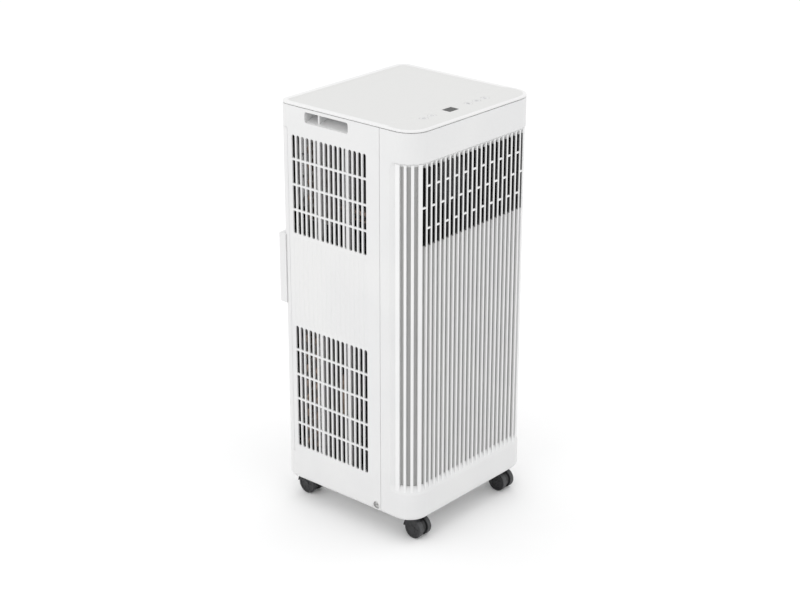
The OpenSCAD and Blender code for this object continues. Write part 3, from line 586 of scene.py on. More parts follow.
def recess_ring(t):
    """The recess's outline, t from 0 at the open face to 1 at the foot of the cove."""
    u1, r = RECESS_U - COVE_SIDE * t, RECESS_R - 7 * MM * t
    z0, z1 = RECESS[0] + SILL * t, RECESS[1] - COVE_TOP * t
    hollow = math.sin(t * math.pi / 2)
    deep = {"low": 5 * MM * t, "side": 3.5 * MM * hollow, "high": 5 * MM * hollow}
    lines = [u for u in ARC_LINES if u < RECESS_U - RECESS_R]
    along = sorted({-u for u in lines} | set(lines))
    ring = []
    for k, (su, sz) in enumerate(((-1, -1), (1, -1), (1, 1), (-1, 1))):
        arc = []
        for i in range(6):
            a = math.pi * (1 + k / 2) + i * math.pi / 10
            upright = abs(math.sin(a)) ** 2
            end = deep["low" if sz < 0 else "high"]
            arc.append((su * (u1 - r) + r * math.cos(a), (z0 + r if sz < 0 else z1 - r) + r * math.sin(a),
                        upright * end + (1 - upright) * deep["side"]))
        run = []
        if k == 0:
            run = [(u, z0, deep["low"]) for u in along]
        if k == 2:
            run = [(u, z1, deep["high"]) for u in reversed(along)]
        ring.append((arc, run))
    return ring


def cell_with_rings(sheet, block, rings, floor=False):
    """Cuts a block of the sheet by rings of (corner arc, straight run) points, each going further in."""
    u0, u1, z0, z1 = block
    sheet.leave(*block)
    inside = 0.05 * MM
    between_u = [u for u in sheet.us if u0 + inside < u < u1 - inside]
    between_z = [z for z in sheet.zs if z0 + inside < z < z1 - inside]
    corners = [(*p, 0.0) for p in rectangle((u0, z0), (u1, z1))]
    edges = [[(u, z0, 0.0) for u in between_u], [(u1, z, 0.0) for z in between_z],
             [(u, z1, 0.0) for u in reversed(between_u)], [(u0, z, 0.0) for z in reversed(between_z)]]
    for k in range(4):
        nxt = (k + 1) % 4
        arc, run = rings[0][k]
        for a, b in zip(arc, arc[1:]):
            sheet.face(corners[k], b, a)
        outer = [corners[k], *edges[k], corners[nxt]]
        inner = [arc[-1], *run, rings[0][nxt][0][0]]
        if len(outer) == len(inner):
            sheet.join(outer, inner, closed=False)
        else:
            sheet.face(*outer, *reversed(inner))
    loops = [[p for arc, run in ring for p in (*arc, *run)] for ring in rings]
    for first, second in zip(loops, loops[1:]):
        sheet.join(first, second)
    if floor:
        sheet.face(*loops[-1])


recess_block = (-RECESS_U - MARGIN, RECESS_U + MARGIN, RECESS[0] - MARGIN, RECESS[1] + MARGIN)
front_us = edge_pair(SEAM_U, -1) + ARC_LINES
front_us += [-u for u in front_us] + [*recess_block[:2]]
front = Sheet(front_us, FOOT_LINES + [*recess_block[2:]] + edge_pair(SHOULDER_Z, -1))
cell_with_rings(front, recess_block, [recess_ring(i / 7) for i in range(8)])
front.fill()
front_edges = [(-SEAM_U, -SEAM_U, 0, 1), (SEAM_U, SEAM_U, 0, 1), (-SEAM_U, SEAM_U, SHOULDER_Z, SHOULDER_Z)]
front_mesh = front.solid(ease(front_edges), lambda d: max(WALL, d + 0.8 * MM))
front_casing = to_object("front_casing", front_mesh, (casing_white, shaded_casing_back))
stands_for(front_casing, "front_shell")

# %% [markdown]
# ## Ribbed panel
#
# Upright ribs run the whole height of the recess and carry on round both corners. Over the upper fifth
# the grooves between them are open slots for the cool air, tied by short bridges in a staggered pattern.
# A profile across the panel is swept upwards, and the floor of a groove is left out where it is open.

# %% Ribbed panel
GROOVE_W = 6.8 * MM
RIB_DEPTH = 1.5 * MM
FLOOR_DEPTH = 6.0 * MM
PANEL_BACK = 8.2 * MM
SLAT_BACK = 4.4 * MM
RIB_ROUND = 0.8 * MM
SLOT_PITCH = 10.3 * MM
BRIDGE_FACE = 2.1 * MM
BRIDGE_SOFT = 0.4 * MM
SLOT_Z = (483 * MM, 601.5 * MM)
slot_us = [(i - 11) * SLOT_PITCH for i in range(23)]
corner_us = [FRONT_FLAT + FRONT_R * math.radians(90 - a) for a in (56, 36, 17)]
groove_us = sorted(slot_us + corner_us + [-u for u in corner_us])
LAST_RIB = side_u(-99.4 * MM)
UNDER_COVE = side_u(-91.5 * MM)


def panel_profile():
    """Points (u, depth) across the panel, and the number of the slot whose floor starts at a point."""
    points = [(-UNDER_COVE, FLOOR_DEPTH)]
    floors = {}
    left = -LAST_RIB
    for centre in groove_us + [None]:
        right = LAST_RIB if centre is None else centre - GROOVE_W / 2
        span = right - left
        turned = [(k, RIB_DEPTH + d) for k, d in ((0.0, RIB_ROUND), (0.23, 0.29 * RIB_ROUND), (1.0, 0.0))]
        steps = max(1, round(span / (2.4 * MM)))
        middle = [(left + RIB_ROUND + (span - 2 * RIB_ROUND) * i / steps, RIB_DEPTH) for i in range(1, steps)]
        points.append((left, FLOOR_DEPTH))
        points += [(left + k * RIB_ROUND, d) for k, d in turned]
        points += middle
        points += [(right - k * RIB_ROUND, d) for k, d in reversed(turned)]
        if centre in slot_us:
            floors[len(points)] = slot_us.index(centre)
        points.append((right, FLOOR_DEPTH))
        if centre is not None:
            left = centre + GROOVE_W / 2
    points.append((UNDER_COVE, FLOOR_DEPTH))
    return points, floors


profile, slot_floors = panel_profile()
CHANGE = 0.4 * MM
low_zs = [RECESS[0] + 4 * MM, RECESS[0] + 14 * MM, SLOT_Z[0] - CHANGE]
high_zs = [SLOT_Z[1] + CHANGE, RECESS[1] - 6 * MM, RECESS[1] - 2 * MM]


def sweep(sheet, zs, points, left_out=()):
    for z0, z1 in zip(zs, zs[1:]):
        for i, (a, b) in enumerate(zip(points, points[1:])):
            if i not in left_out:
                sheet.face((a[0], z0, a[1]), (b[0], z0, b[1]), (b[0], z1, b[1]), (a[0], z1, a[1]))


SLATS_END = slot_us[-1] + GROOVE_W / 2 + RIB_ROUND
first = min(i for i, (u, d) in enumerate(profile) if u > -SLATS_END - HAIR)
last = max(i for i, (u, d) in enumerate(profile) if u < SLATS_END + HAIR)
slats_profile = [(u, min(d, SLAT_BACK - 0.3 * MM)) for u, d in profile[first:last + 1]]
slats_open = {i - first for i in slot_floors}


def slot_shade(u, z, depth):
    """The inside of an open slot is marked, so that its finish takes the painted shade of an unlit point."""
    return SLOT_MARK if SLOT_Z[0] <= z <= SLOT_Z[1] and depth > RIB_DEPTH + 0.5 * MM else 0.0


ribs = Sheet([], [])
sweep(ribs, low_zs, profile[first:last + 1])
sweep(ribs, high_zs, profile[first:last + 1])
for part in (profile[:first + 1], profile[last:]):
    sweep(ribs, [low_zs[0], low_zs[1], high_zs[-1]], part)
ribs_mesh = ribs.solid(on_casing, lambda d: PANEL_BACK)
slats = Sheet([], [])
sweep(slats, [low_zs[-1], *SLOT_Z, high_zs[0]], slats_profile, slats_open)
open_mesh = slats.solid(on_casing, lambda d: SLAT_BACK, slot_shade)
spare = bpy.data.meshes.new("spare")
open_mesh.to_mesh(spare)
open_mesh.free()
ribs_mesh.from_mesh(spare)
bpy.data.meshes.remove(spare)
bridge_u, bridge_z = GROOVE_W / 2 + BRIDGE_SOFT, 1.5 * MM
for i, u in enumerate(slot_us):
    for share in ((0.5,) if i % 2 == 0 else (0.23, 0.77)):
        z = SLOT_Z[1] - share * (SLOT_Z[1] - SLOT_Z[0])
        solid_block(ribs_mesh, on_casing, (u - bridge_u, z - bridge_z, BRIDGE_FACE),
                    (u + bridge_u, z + bridge_z, SLAT_BACK), BRIDGE_SOFT)
# painted shade: the back faces of the ribbed panel take the near-black second finish
ribbed_front_panel = to_object("ribbed_front_panel", ribs_mesh, (slat_white, charcoal_and_shade), 35)
stands_for(ribbed_front_panel, "front_grille")

# %% [markdown]
# ## Side casings
#
# Each side has two blocks of upright slots, one in front of each coil, in sixteen columns. Between the
# blocks the columns carry on as shallow flutes, which ties the pattern together. Near the top is the
# mouth of a recessed grip, and near the foot a screw in a counterbore. All of these are cells of one
# grid, so the bars between the slots come out evenly.

# %% Side casings
COLUMN_PITCH = 9.46 * MM
COLUMN_W = 6.2 * MM
BAR = 3.4 * MM
COLUMNS = 16
FIRST_COLUMN_Y = 99.9 * MM
PANEL_CUT_Y = 112 * MM
PANEL_CUT_Z = (85 * MM, 621 * MM)
UPPER_Z, LOWER_Z, FLUTE_Z = (456 * MM, 612 * MM), (98 * MM, 304 * MM), (310 * MM, 450 * MM)
GRIP_Y, GRIP_Z = (-10 * MM, 76 * MM), (635 * MM, 651 * MM)
SCREW_YZ, SCREW_R = (-62 * MM, 48.6 * MM), 6.2 * MM
GLAND_X, GLAND_Z, GLAND_R = 108 * MM, 68 * MM, 9 * MM
DRAIN_Z, DRAIN_R = 58 * MM, 9 * MM
SEAM_Y = -70.75 * MM
MEET_GAP = 0.1 * MM                     # each casing stops this far from the middle of the back
SQUARE_R = 0.7 * MM                     # corners of a slot's square ends
SCREW_CELL = (-53 * MM, 57 * MM)        # rear and upper limits of the cells round these holes
GRIP_CELL_Z = (630 * MM, 654 * MM)
GLAND_CELL_X, GLAND_CELL_Z = (96 * MM, 120 * MM), (55 * MM, 80 * MM)
DRAIN_CELL_W, DRAIN_CELL_Z = 12 * MM, (46 * MM, 80 * MM)
FLUTE_CELL_Z = (FLUTE_Z[0] - 3 * MM, FLUTE_Z[1] + 3 * MM)
BACKING_COLUMNS, BACKING_Z = (5, 11), (62 * MM, 627 * MM)
FLUTE_RIM = ((0.2 * MM, 0.0), (-0.3 * MM, 0.4 * MM), (-0.9 * MM, 0.5 * MM))
GRIP_RIM = ((0.9 * MM, 0.0), (0.26 * MM, 0.26 * MM), (0.0, 0.9 * MM))
SCREW_SECTION = ((0.0, 1.2 * MM), (1.8 * MM, 1.2 * MM), (1.8 * MM, 14 * MM), (-4.2 * MM, 14 * MM),
                 (-4.2 * MM, 5 * MM), (0.0, 5 * MM))
column_ys = [FIRST_COLUMN_Y - i * COLUMN_PITCH for i in range(COLUMNS)]
column_lines = [side_u(y - COLUMN_PITCH / 2) for y in column_ys] + [side_u(column_ys[0] + COLUMN_PITCH / 2)]


def row_spans(span, rows):
    """The z range of each row of slots in a block, bars left out."""
    h = (span[1] - span[0] - (rows - 1) * BAR) / rows
    return [(span[0] + i * (h + BAR), span[0] + i * (h + BAR) + h) for i in range(rows)]


def round_hole(u, z, radius):
    return u - radius, u + radius, z - radius, z + radius


def slot_cell(u, width, pitch, z0, z1, margin):
    """The block and the hole of one slot in a row of them."""
    return ((u - pitch / 2, u + pitch / 2, z0 - margin, z1 + margin),
            (u - width / 2, u + width / 2, z0, z1))


def cut(sheet, block, hole, radius, rings=RIM, high_radius=None, floor=False, steps=4):
    """Cuts a rounded hole (u0, u1, z0, z1) in a block of the sheet."""
    u0, u1, z0, z1 = hole
    arcs = rounded((u0 + u1) / 2, (z0 + z1) / 2, u1 - u0, z1 - z0, radius, high_radius, steps)
    loops = [[([(*p, depth) for p in arc], []) for arc in arcs(grow)] for grow, depth in rings]
    cell_with_rings(sheet, block, loops, floor)


def grille_block(sheet, us, width, pitch, span, rows):
    """One block of slots: square ends at the bars, round ends at the top and the bottom."""
    spans = row_spans(span, rows)
    for k, (z0, z1) in enumerate(spans):
        low = width / 2 if k == 0 else SQUARE_R
        high = width / 2 if k == rows - 1 else SQUARE_R
        for u in us:
            cut(sheet, *slot_cell(u, width, pitch, z0, z1, BAR / 2), low, RIM, high, steps=3)
    return [spans[0][0] - BAR / 2] + [z1 + BAR / 2 for z0, z1 in spans]


def half_hole(sheet, end, z, radius, block):
    """Half of a round hole at the sheet's end, where its other half is in the other casing."""
    u0, z0, z1 = block
    sheet.leave(u0, end, z0, z1)
    rims = [[(end - (radius + g) * math.sin(a), z - (radius + g) * math.cos(a), d)
             for a in [math.pi * i / 16 for i in range(17)]] for g, d in RIM]
    low, high, rim = (u0, z0, 0.0), (u0, z1, 0.0), rims[0]
    for a, b in zip(rim[:9], rim[1:9]):
        sheet.face(low, a, b)
    for a, b in zip(rim[8:], rim[9:]):
        sheet.face(high, a, b)
    sheet.face(low, (end, z0, 0.0), rim[0])
    sheet.face(high, low, rim[8])
    sheet.face(high, rim[16], (end, z1, 0.0))
    for first, second in zip(rims, rims[1:]):
        sheet.join(second, first, closed=False)


def ring_frame(mesh_data, place, hole, radius, profile, steps=6, finish=0):
    """A closed frame round a rounded hole, its section given as (grown by, depth) points."""
    u0, u1, z0, z1 = hole
    arcs = rounded((u0 + u1) / 2, (z0 + z1) / 2, u1 - u0, z1 - z0, radius, None, steps)
    rows = [[mesh_data.verts.new(place(*p, depth)) for arc in arcs(grow) for p in arc]
            for grow, depth in profile]
    faces = skin(mesh_data, rows + rows[:1])
    for face in faces:
        face.material_index = finish
    bmesh.ops.recalc_face_normals(mesh_data, faces=faces)


def side_casing(name, node, hand):
    """One side and its half of the back, drawn on the right; hand is -1 to mirror it to the left."""
    end = HALF_ROUND - MEET_GAP
    cut_u = side_u(PANEL_CUT_Y)
    seam = side_u(SEAM_Y)
    rear_arc = [cut_u + REAR_ARC * i / 9 for i in range(10)]
    grip_block = (side_u(column_ys[12] - COLUMN_PITCH / 2), side_u(column_ys[1] - COLUMN_PITCH / 2))
    screw_block = (seam + 1.3 * SOFT, side_u(SCREW_CELL[0]), FOOT_LINES[3], SCREW_CELL[1])
    screw_hole = round_hole(side_u(SCREW_YZ[0]), SCREW_YZ[1], SCREW_R)
    drain_u = end - DRAIN_CELL_W
    gland = (rear_u(GLAND_CELL_X[1]), rear_u(GLAND_CELL_X[0]))
    us = edge_pair(seam, 1) + column_lines + edge_pair(cut_u, -1) + rear_arc + [screw_block[1], drain_u, end]
    zs = FOOT_LINES + [*DRAIN_CELL_Z, GLAND_CELL_Z[0], SCREW_CELL[1], *FLUTE_CELL_Z, *GRIP_CELL_Z]
    zs += edge_pair(PANEL_CUT_Z[0], -1) + edge_pair(PANEL_CUT_Z[1], 1) + edge_pair(SHOULDER_Z, -1)
    sheet = Sheet([], [])
    column_us = [side_u(y) for y in column_ys]
    for span, rows in ((UPPER_Z, 4), (LOWER_Z, 5)):
        zs += grille_block(sheet, column_us, COLUMN_W, COLUMN_PITCH, span, rows)
    if hand > 0:
        us += gland
    sheet.us = sorted(set(us))
    sheet.zs = sorted(set(zs))
    for u in column_us:
        cut(sheet, *slot_cell(u, COLUMN_W, COLUMN_PITCH, *FLUTE_Z, 3 * MM), COLUMN_W / 2, FLUTE_RIM,
            floor=True)
    cut(sheet, (*grip_block, *GRIP_CELL_Z), (side_u(GRIP_Y[0]), side_u(GRIP_Y[1]), *GRIP_Z), 3 * MM,
        GRIP_RIM, steps=5)
    cut(sheet, screw_block, screw_hole, SCREW_R, steps=6)
    if hand > 0:
        cut(sheet, (*gland, *GLAND_CELL_Z), round_hole(rear_u(GLAND_X), GLAND_Z, GLAND_R), GLAND_R, steps=6)
    half_hole(sheet, end, DRAIN_Z, DRAIN_R, (drain_u, *DRAIN_CELL_Z))
    sheet.leave(cut_u, end, *PANEL_CUT_Z)
    sheet.fill()
    eased = ease([(seam, seam, 0, 1), (seam, end, SHOULDER_Z, SHOULDER_Z), (cut_u, cut_u, *PANEL_CUT_Z)]
                 + [(cut_u, end, z, z) for z in PANEL_CUT_Z])

    def place(u, z, depth):
        point = eased(u, z, depth)
        return Vector((hand * point.x, point.y, point.z))

    mesh_data = sheet.solid(place, lambda d: WALL)
    if hand < 0:
        bmesh.ops.reverse_faces(mesh_data, faces=mesh_data.faces)
    for column in BACKING_COLUMNS:
        u = column_us[column]
        solid_block(mesh_data, place, (u - 1.2 * MM, BACKING_Z[0], WALL - 0.3 * MM),
                    (u + 1.2 * MM, BACKING_Z[1], WALL + 9 * MM), 0.2 * MM)
    ring_frame(mesh_data, place, screw_hole, SCREW_R, SCREW_SECTION)
    stands_for(to_object(name, mesh_data, (casing_white, shaded_casing_back)), node)


side_casing("side_casing_right", "side_shell_right", 1)
side_casing("side_casing_left", "side_shell_left", -1)

# %% [markdown]
# ## Back panel
#
# The back is a separate panel that wraps both rear corners, so the coils can be reached by taking out
# its screws. It has a window for each filter, with a ledge the filter rests on, a wide oblong hole for
# the warm-air outlet and a round pocket for the drain spigot. The windows' seats and the pocket are
# closed frames round their holes, since a bent sheet alone would have no thickness there.

# %% Back panel
WINDOWS = ((486 * MM, 606 * MM), (118 * MM, 322 * MM))
WINDOW_HALF = 105 * MM
SEAT_DEPTH = 7.3 * MM
OUTLET_Z = 393.5 * MM
OUTLET_W, OUTLET_H = 196.4 * MM, 94.4 * MM
SPIGOT_X, SPIGOT_Z, POCKET_R = 100 * MM, 467 * MM, 16 * MM
SEAT_R = 3 * MM
PANEL_END = side_u(112.3 * MM)
panel_u = (PANEL_END, 2 * HALF_ROUND - PANEL_END)
panel_z = (panel_low.z, panel_high.z)
arc_start = side_u(REAR_Y - REAR_R)
arc_lines = [arc_start + REAR_ARC * i / 9 for i in range(1, 10)]
SEAT_SECTION = ((0.0, 1.2 * MM), (2.5 * MM, 1.2 * MM), (2.5 * MM, 9.5 * MM), (-4 * MM, 9.5 * MM),
                (-4 * MM, SEAT_DEPTH), (0.0, SEAT_DEPTH))
POCKET_SECTION = ((0.0, 1.2 * MM), (1.8 * MM, 1.2 * MM), (1.8 * MM, 15 * MM), (-8.7 * MM, 15 * MM),
                  (-8.7 * MM, 12.5 * MM), (0.0, 12.5 * MM))


def back_block(x0, x1):
    """The u range of a block between two x positions on the back, in rising order."""
    return rear_u(x1), rear_u(x0)


window_us = back_block(-WINDOW_HALF - 3 * MM, WINDOW_HALF + 3 * MM)
window_cells = [(*window_us, z0 - MARGIN, z1 + 2 * MM) for z0, z1 in WINDOWS]
window_holes = [(*back_block(-WINDOW_HALF, WINDOW_HALF), *window) for window in WINDOWS]
outlet_cell = (*window_us, OUTLET_Z - 50 * MM, OUTLET_Z + 50 * MM)
outlet_hole = (*back_block(-OUTLET_W / 2, OUTLET_W / 2), OUTLET_Z - OUTLET_H / 2, OUTLET_Z + OUTLET_H / 2)
spigot_cell = (*back_block(SPIGOT_X - POCKET_R - 4 * MM, SPIGOT_X + POCKET_R + 4 * MM),
               SPIGOT_Z - POCKET_R - 2 * MM, window_cells[0][2])
pocket = round_hole(rear_u(SPIGOT_X), SPIGOT_Z, POCKET_R)
cells = [*window_cells, outlet_cell, spigot_cell]
us = edge_pair(panel_u[0], 1) + edge_pair(panel_u[1], -1)
us += arc_lines + [2 * HALF_ROUND - u for u in arc_lines]
zs = edge_pair(panel_z[0], 1) + edge_pair(panel_z[1], -1)
panel = Sheet({*us, *window_us, *spigot_cell[:2]}, {*zs, *[z for cell in cells for z in cell[2:]]})
for cell, hole in zip(window_cells, window_holes):
    cut(panel, cell, hole, SEAT_R)
cut(panel, outlet_cell, outlet_hole, OUTLET_H / 2 - HAIR, steps=12)
cut(panel, spigot_cell, pocket, POCKET_R, steps=8)
panel.fill()
panel_edges = [(u, u, 0, 1) for u in panel_u] + [(*panel_u, z, z) for z in panel_z]
panel_mesh = panel.solid(ease(panel_edges), lambda d: WALL)
for hole in window_holes:
    ring_frame(panel_mesh, on_casing, hole, SEAT_R, SEAT_SECTION)
ring_frame(panel_mesh, on_casing, pocket, POCKET_R, POCKET_SECTION, 8)
back_panel = to_object("back_panel", panel_mesh, (casing_white, shaded_casing_back))
stands_for(back_panel, "rear_panel")

# %% [markdown]
# ## Filters
#
# A filter is a thin white frame with a grille of its own and a nylon net moulded into it. It pulls
# straight out by a finger tab. The frame's face is a sheet like the others, but flat, and the net is
# made of real threads so that the coil shows faintly through it.

# %% Filters
FILTER_COLUMNS = 20
FILTER_PITCH = 9.8 * MM
FILTER_SLOT = 6.4 * MM
THREAD_PITCH = 1.6 * MM
THREAD = 0.16 * MM
FILTER_GAP = 0.4 * MM
FRAME_W = 8 * MM
ROW_H = 45 * MM
NET_FINISH = 2
NET_INSET = 4.2 * MM
net_y = REAR_Y - 5.1 * MM
filter_face_y = REAR_Y + 0.4 * MM
tab_y = filter_face_y + 3 * MM
TAB_SECTION = ((0.5 * MM, filter_face_y - MM), (0.5 * MM, filter_face_y), (0.0, filter_face_y + 0.5 * MM),
               (0.0, tab_y - 0.6 * MM), (-0.2 * MM, tab_y - 0.2 * MM), (-0.6 * MM, tab_y))
FRAME_SECTION = ((0.0, 3.2 * MM), (0.0, 6.9 * MM), (-4 * MM, 6.9 * MM), (-4 * MM, 3.2 * MM))


def thread(mesh_data, low, high):
    """One straight thread of the net, as a block between two corners."""
    face = rectangle((low[0], low[2]), (high[0], high[2]))
    add_loops(mesh_data, [[Vector((x, y, z)) for x, z in face] for y in (low[1], high[1])], NET_FINISH)


def air_filter(name, node, window):
    w = 2 * (WINDOW_HALF - FILTER_GAP)
    z0, z1 = window[0] + FILTER_GAP, window[1] - FILTER_GAP
    xs = [(i - (FILTER_COLUMNS - 1) / 2) * FILTER_PITCH for i in range(FILTER_COLUMNS)]
    edge_x = [x - FILTER_PITCH / 2 for x in xs] + [xs[-1] + FILTER_PITCH / 2]
    sheet = Sheet(edge_x + edge_pair(-w / 2, 1) + edge_pair(w / 2, -1), [])
    rows = grille_block(sheet, xs, FILTER_SLOT, FILTER_PITCH, (z0 + FRAME_W, z1 - FRAME_W),
                        round((z1 - z0) / ROW_H))
    sheet.zs = sorted(edge_pair(z0, 1) + edge_pair(z1, -1) + rows)
    sheet.fill()
    lines = [(-w / 2, w / 2, z, z) for z in (z0, z1)] + [(x, x, z0, z1) for x in (-w / 2, w / 2)]
    flat = ease(lines, lambda u, z, depth: Vector((-u, filter_face_y - depth, z)))
    mesh_data = sheet.solid(flat, lambda d: 3.4 * MM)
    inset = 0.5 * MM
    ring_frame(mesh_data, flat, (-w / 2 + inset, w / 2 - inset, z0 + inset, z1 - inset), 3 * MM,
               FRAME_SECTION)
    tab = rounded(0, z1 - 4 * MM, 46 * MM, 5 * MM, 2.4 * MM, None, 6)
    add_loops(mesh_data, [[Vector((x, y, z)) for arc in tab(grow) for x, z in arc]
                          for grow, y in TAB_SECTION])
    reach_x, low_z, high_z = w / 2 - NET_INSET, z0 + NET_INSET, z1 - NET_INSET
    for i in range(int(2 * reach_x / THREAD_PITCH)):
        x = -reach_x + (i + 0.5) * THREAD_PITCH
        thread(mesh_data, (x - THREAD, net_y, low_z), (x + THREAD, net_y + 2 * THREAD, high_z))
    for i in range(int((high_z - low_z) / THREAD_PITCH)):
        z = low_z + (i + 0.5) * THREAD_PITCH
        thread(mesh_data, (-reach_x, net_y - 2 * THREAD, z - THREAD), (reach_x, net_y, z + THREAD))
    stands_for(to_object(name, mesh_data, (casing_white, casing_white, net_grey)), node)


air_filter("upper_filter_with_net", "upper_air_filter", WINDOWS[0])
air_filter("lower_filter_with_net", "lower_air_filter", WINDOWS[1])

# %% [markdown]
# ## Top cover, keys and display
#
# The top is a lid with a rounded rim. Behind the control row it is dished by little more than a
# millimetre, so a spilt drop doesn't run into the keys. The five keys are turned caps with slightly
# hollow tops that stand level with the lid, each with a plain grey mark, and the display is a smoked
# window. The holes are cut by booleans, since they are few and the lid is flat there.

# %% Top cover
DISH_DEPTH = 1.4 * MM
RAMP_Y = (-80 * MM, -68 * MM)
LID_FLAT_ROWS = 4      # how many of the lid's inner rows take the tone of the flat
LID_WALL, LID_INNER = 3.1 * MM, 5.5 * MM
LID_RIM = ((0.4, 2.8), (0.0, 2.4), (0.0, 1.3), (0.12, 0.75), (0.45, 0.32), (0.9, 0.08), (1.5, 0.0),
           (8.0, 0.0), (9.0, 0.0), (10.0, 0.0), (11.0, 0.0), (12.0, 0.0))    # inset and drop in mm
LID_DROP = LID_RIM[0][1] * MM
KEY_XS = (-72 * MM, -54 * MM, 29 * MM, 48.5 * MM, 68 * MM)
KEY_ROW_Y = -95.7 * MM
DISPLAY_X = -12.5 * MM
TOP_Z = top_high.z


def smooth(value, low, high):
    t = min(max((value - low) / (high - low), 0), 1)
    return t * t * (3 - 2 * t)


def lid_loop(inset, z):
    """A loop round the lid, the same number of points at every inset and in left and right pairs."""
    side = FRONT_FLAT + FRONT_ARC
    half = [FRONT_FLAT + FRONT_ARC * i / 14 for i in range(15)]
    half += [side_u(y * MM) for y in (-98, -86, -80, -77, -74, -71, -68, -62, -20, 40, 100)]
    half += [side + SIDE_FLAT + REAR_ARC * i / 12 for i in range(13)]
    loop = []
    for u in half + [-u for u in reversed(half)]:
        point, inward = outline(u)
        point = point + inward * inset
        sunk = smooth(inset, 8 * MM, 12 * MM) * smooth(point.y, *RAMP_Y)
        loop.append(Vector((point.x, point.y, z - DISH_DEPTH * sunk)))
    return loop


def top_cover():
    mesh_data = bmesh.new()
    loops = [lid_loop(LID_INNER, top_low.z), lid_loop(LID_WALL, top_low.z),
             lid_loop(LID_WALL, TOP_Z - LID_DROP)]
    loops += [lid_loop(inset * MM, TOP_Z - drop * MM) for inset, drop in LID_RIM]
    painted_shade = mesh_data.verts.layers.float.new("depth")
    rows = [[mesh_data.verts.new(p) for p in loop] for loop in loops]
    # painted shade: the lid's flat inside the rim is painted darker so that the rim reads as a lit edge; at
    # the front, where the lid is not dished, the next row out is painted too
    for row in rows[-LID_FLAT_ROWS:]:
        for vert in row:
            vert[painted_shade] = FLAT_SHADE_MARK
    for vert in rows[-LID_FLAT_ROWS - 1]:
        vert[painted_shade] = FLAT_SHADE_MARK if vert.co.y < RAMP_Y[0] else 0.0
    inner = [mesh_data.verts.new(p) for p in lid_loop(LID_INNER, TOP_Z - LID_DROP)]
    count = len(inner)
    skin(mesh_data, [inner] + rows)
    for ring in (rows[-1], inner):
        for i in range(count // 2 - 1):
            mesh_data.faces.new((ring[i], ring[i + 1], ring[count - 2 - i], ring[count - 1 - i]))
    bmesh.ops.recalc_face_normals(mesh_data, faces=mesh_data.faces)
    return to_object("lid", mesh_data, (top_white, ink_grey), 40)


def hole_cutter(loops):
    mesh_data = bmesh.new()
    add_loops(mesh_data, loops)
    mesh = bpy.data.meshes.new("cutter")
    mesh_data.to_mesh(mesh)
    mesh_data.free()
    cutter = bpy.data.objects.new("cutter", mesh)
    bpy.context.scene.collection.objects.link(cutter)
    return cutter


def carve(target, cutters):
    """Cuts the cutters out of the target, makes the result its mesh and deletes the cutters."""
    target.modifiers.clear()
    for cutter in cutters:
        step = target.modifiers.new("cut", "BOOLEAN")
        step.operation = "DIFFERENCE"
        step.solver = "EXACT"
        step.object = cutter
    result = target.evaluated_get(bpy.context.evaluated_depsgraph_get())
    target.data = bpy.data.meshes.new_from_object(result)
    target.modifiers.clear()
    target.modifiers.new("Even normals", "WEIGHTED_NORMAL").keep_sharp = True
    for cutter in cutters:
        bpy.data.objects.remove(cutter)


def circle(x, y, z, radius, steps=40):
    turns = [2 * math.pi * i / steps for i in range(steps)]
    return [Vector((x + radius * math.cos(a), y + radius * math.sin(a), z)) for a in turns]


def flat_loop(x, y, z, w, h, r, grow=0.0):
    arcs = rounded(x, y, w, h, r, None, 5)(grow)
    return [Vector((a, b, z)) for arc in arcs for a, b in arc]


KEY_HOLE = ((650, 6.65), (659.7, 6.65), (660.4, 7.25))    # height and radius in mm, flared at the top
DISPLAY_HOLE, DISPLAY_HOLE_R, DISPLAY_CUT_Z = (21.2 * MM, 16.7 * MM), 1.2 * MM, (0.65, 0.67)
CONTROLS = Vector((100 * MM, 20 * MM))    # half the size of the area that holds all the holes
lid = top_cover()
cutters = [hole_cutter([circle(x, KEY_ROW_Y, z * MM, r * MM) for z, r in KEY_HOLE]) for x in KEY_XS]
cutters.append(hole_cutter([flat_loop(DISPLAY_X, KEY_ROW_Y, z, *DISPLAY_HOLE, DISPLAY_HOLE_R)
                            for z in DISPLAY_CUT_Z]))
carve(lid, cutters)
lid_flat_shade = lid.data.attributes["depth"].data
# painted shade: the cut edges round the keys and the display take the flat's darker tone
for vert in lid.data.vertices:  # the cut edges take the tone of the flat they lie in
    if abs(vert.co.y - KEY_ROW_Y) < CONTROLS.y and abs(vert.co.x) < CONTROLS.x:
        lid_flat_shade[vert.index].value = FLAT_SHADE_MARK
stands_for(lid, "top_cover")

# %% Keys and display
def disc_mark(mesh_data, x, y, z, outline_mm):
    """A thin raised mark whose outline is a list of points, in the second finish."""
    add_loops(mesh_data, [[Vector((x + a * MM, y + b * MM, level)) for a, b in outline_mm]
                          for level in (z - 0.25 * MM, z)], 1)


def ring_mark(mesh_data, x, y, z, radius, width, start, sweep):
    """A thin raised arc in millimetres, from start to start + sweep degrees."""
    steps = max(4, round(abs(sweep) / 15))
    angles = [math.radians(start + sweep * i / steps) for i in range(steps + 1)]
    edges = [(radius + width / 2, a) for a in angles] + [(radius - width / 2, a) for a in reversed(angles)]
    disc_mark(mesh_data, x, y, z, [(r * math.cos(a), r * math.sin(a)) for r, a in edges])


def bar_mark(mesh_data, x, y, z, low, high):
    disc_mark(mesh_data, x, y, z, rectangle(low, high))


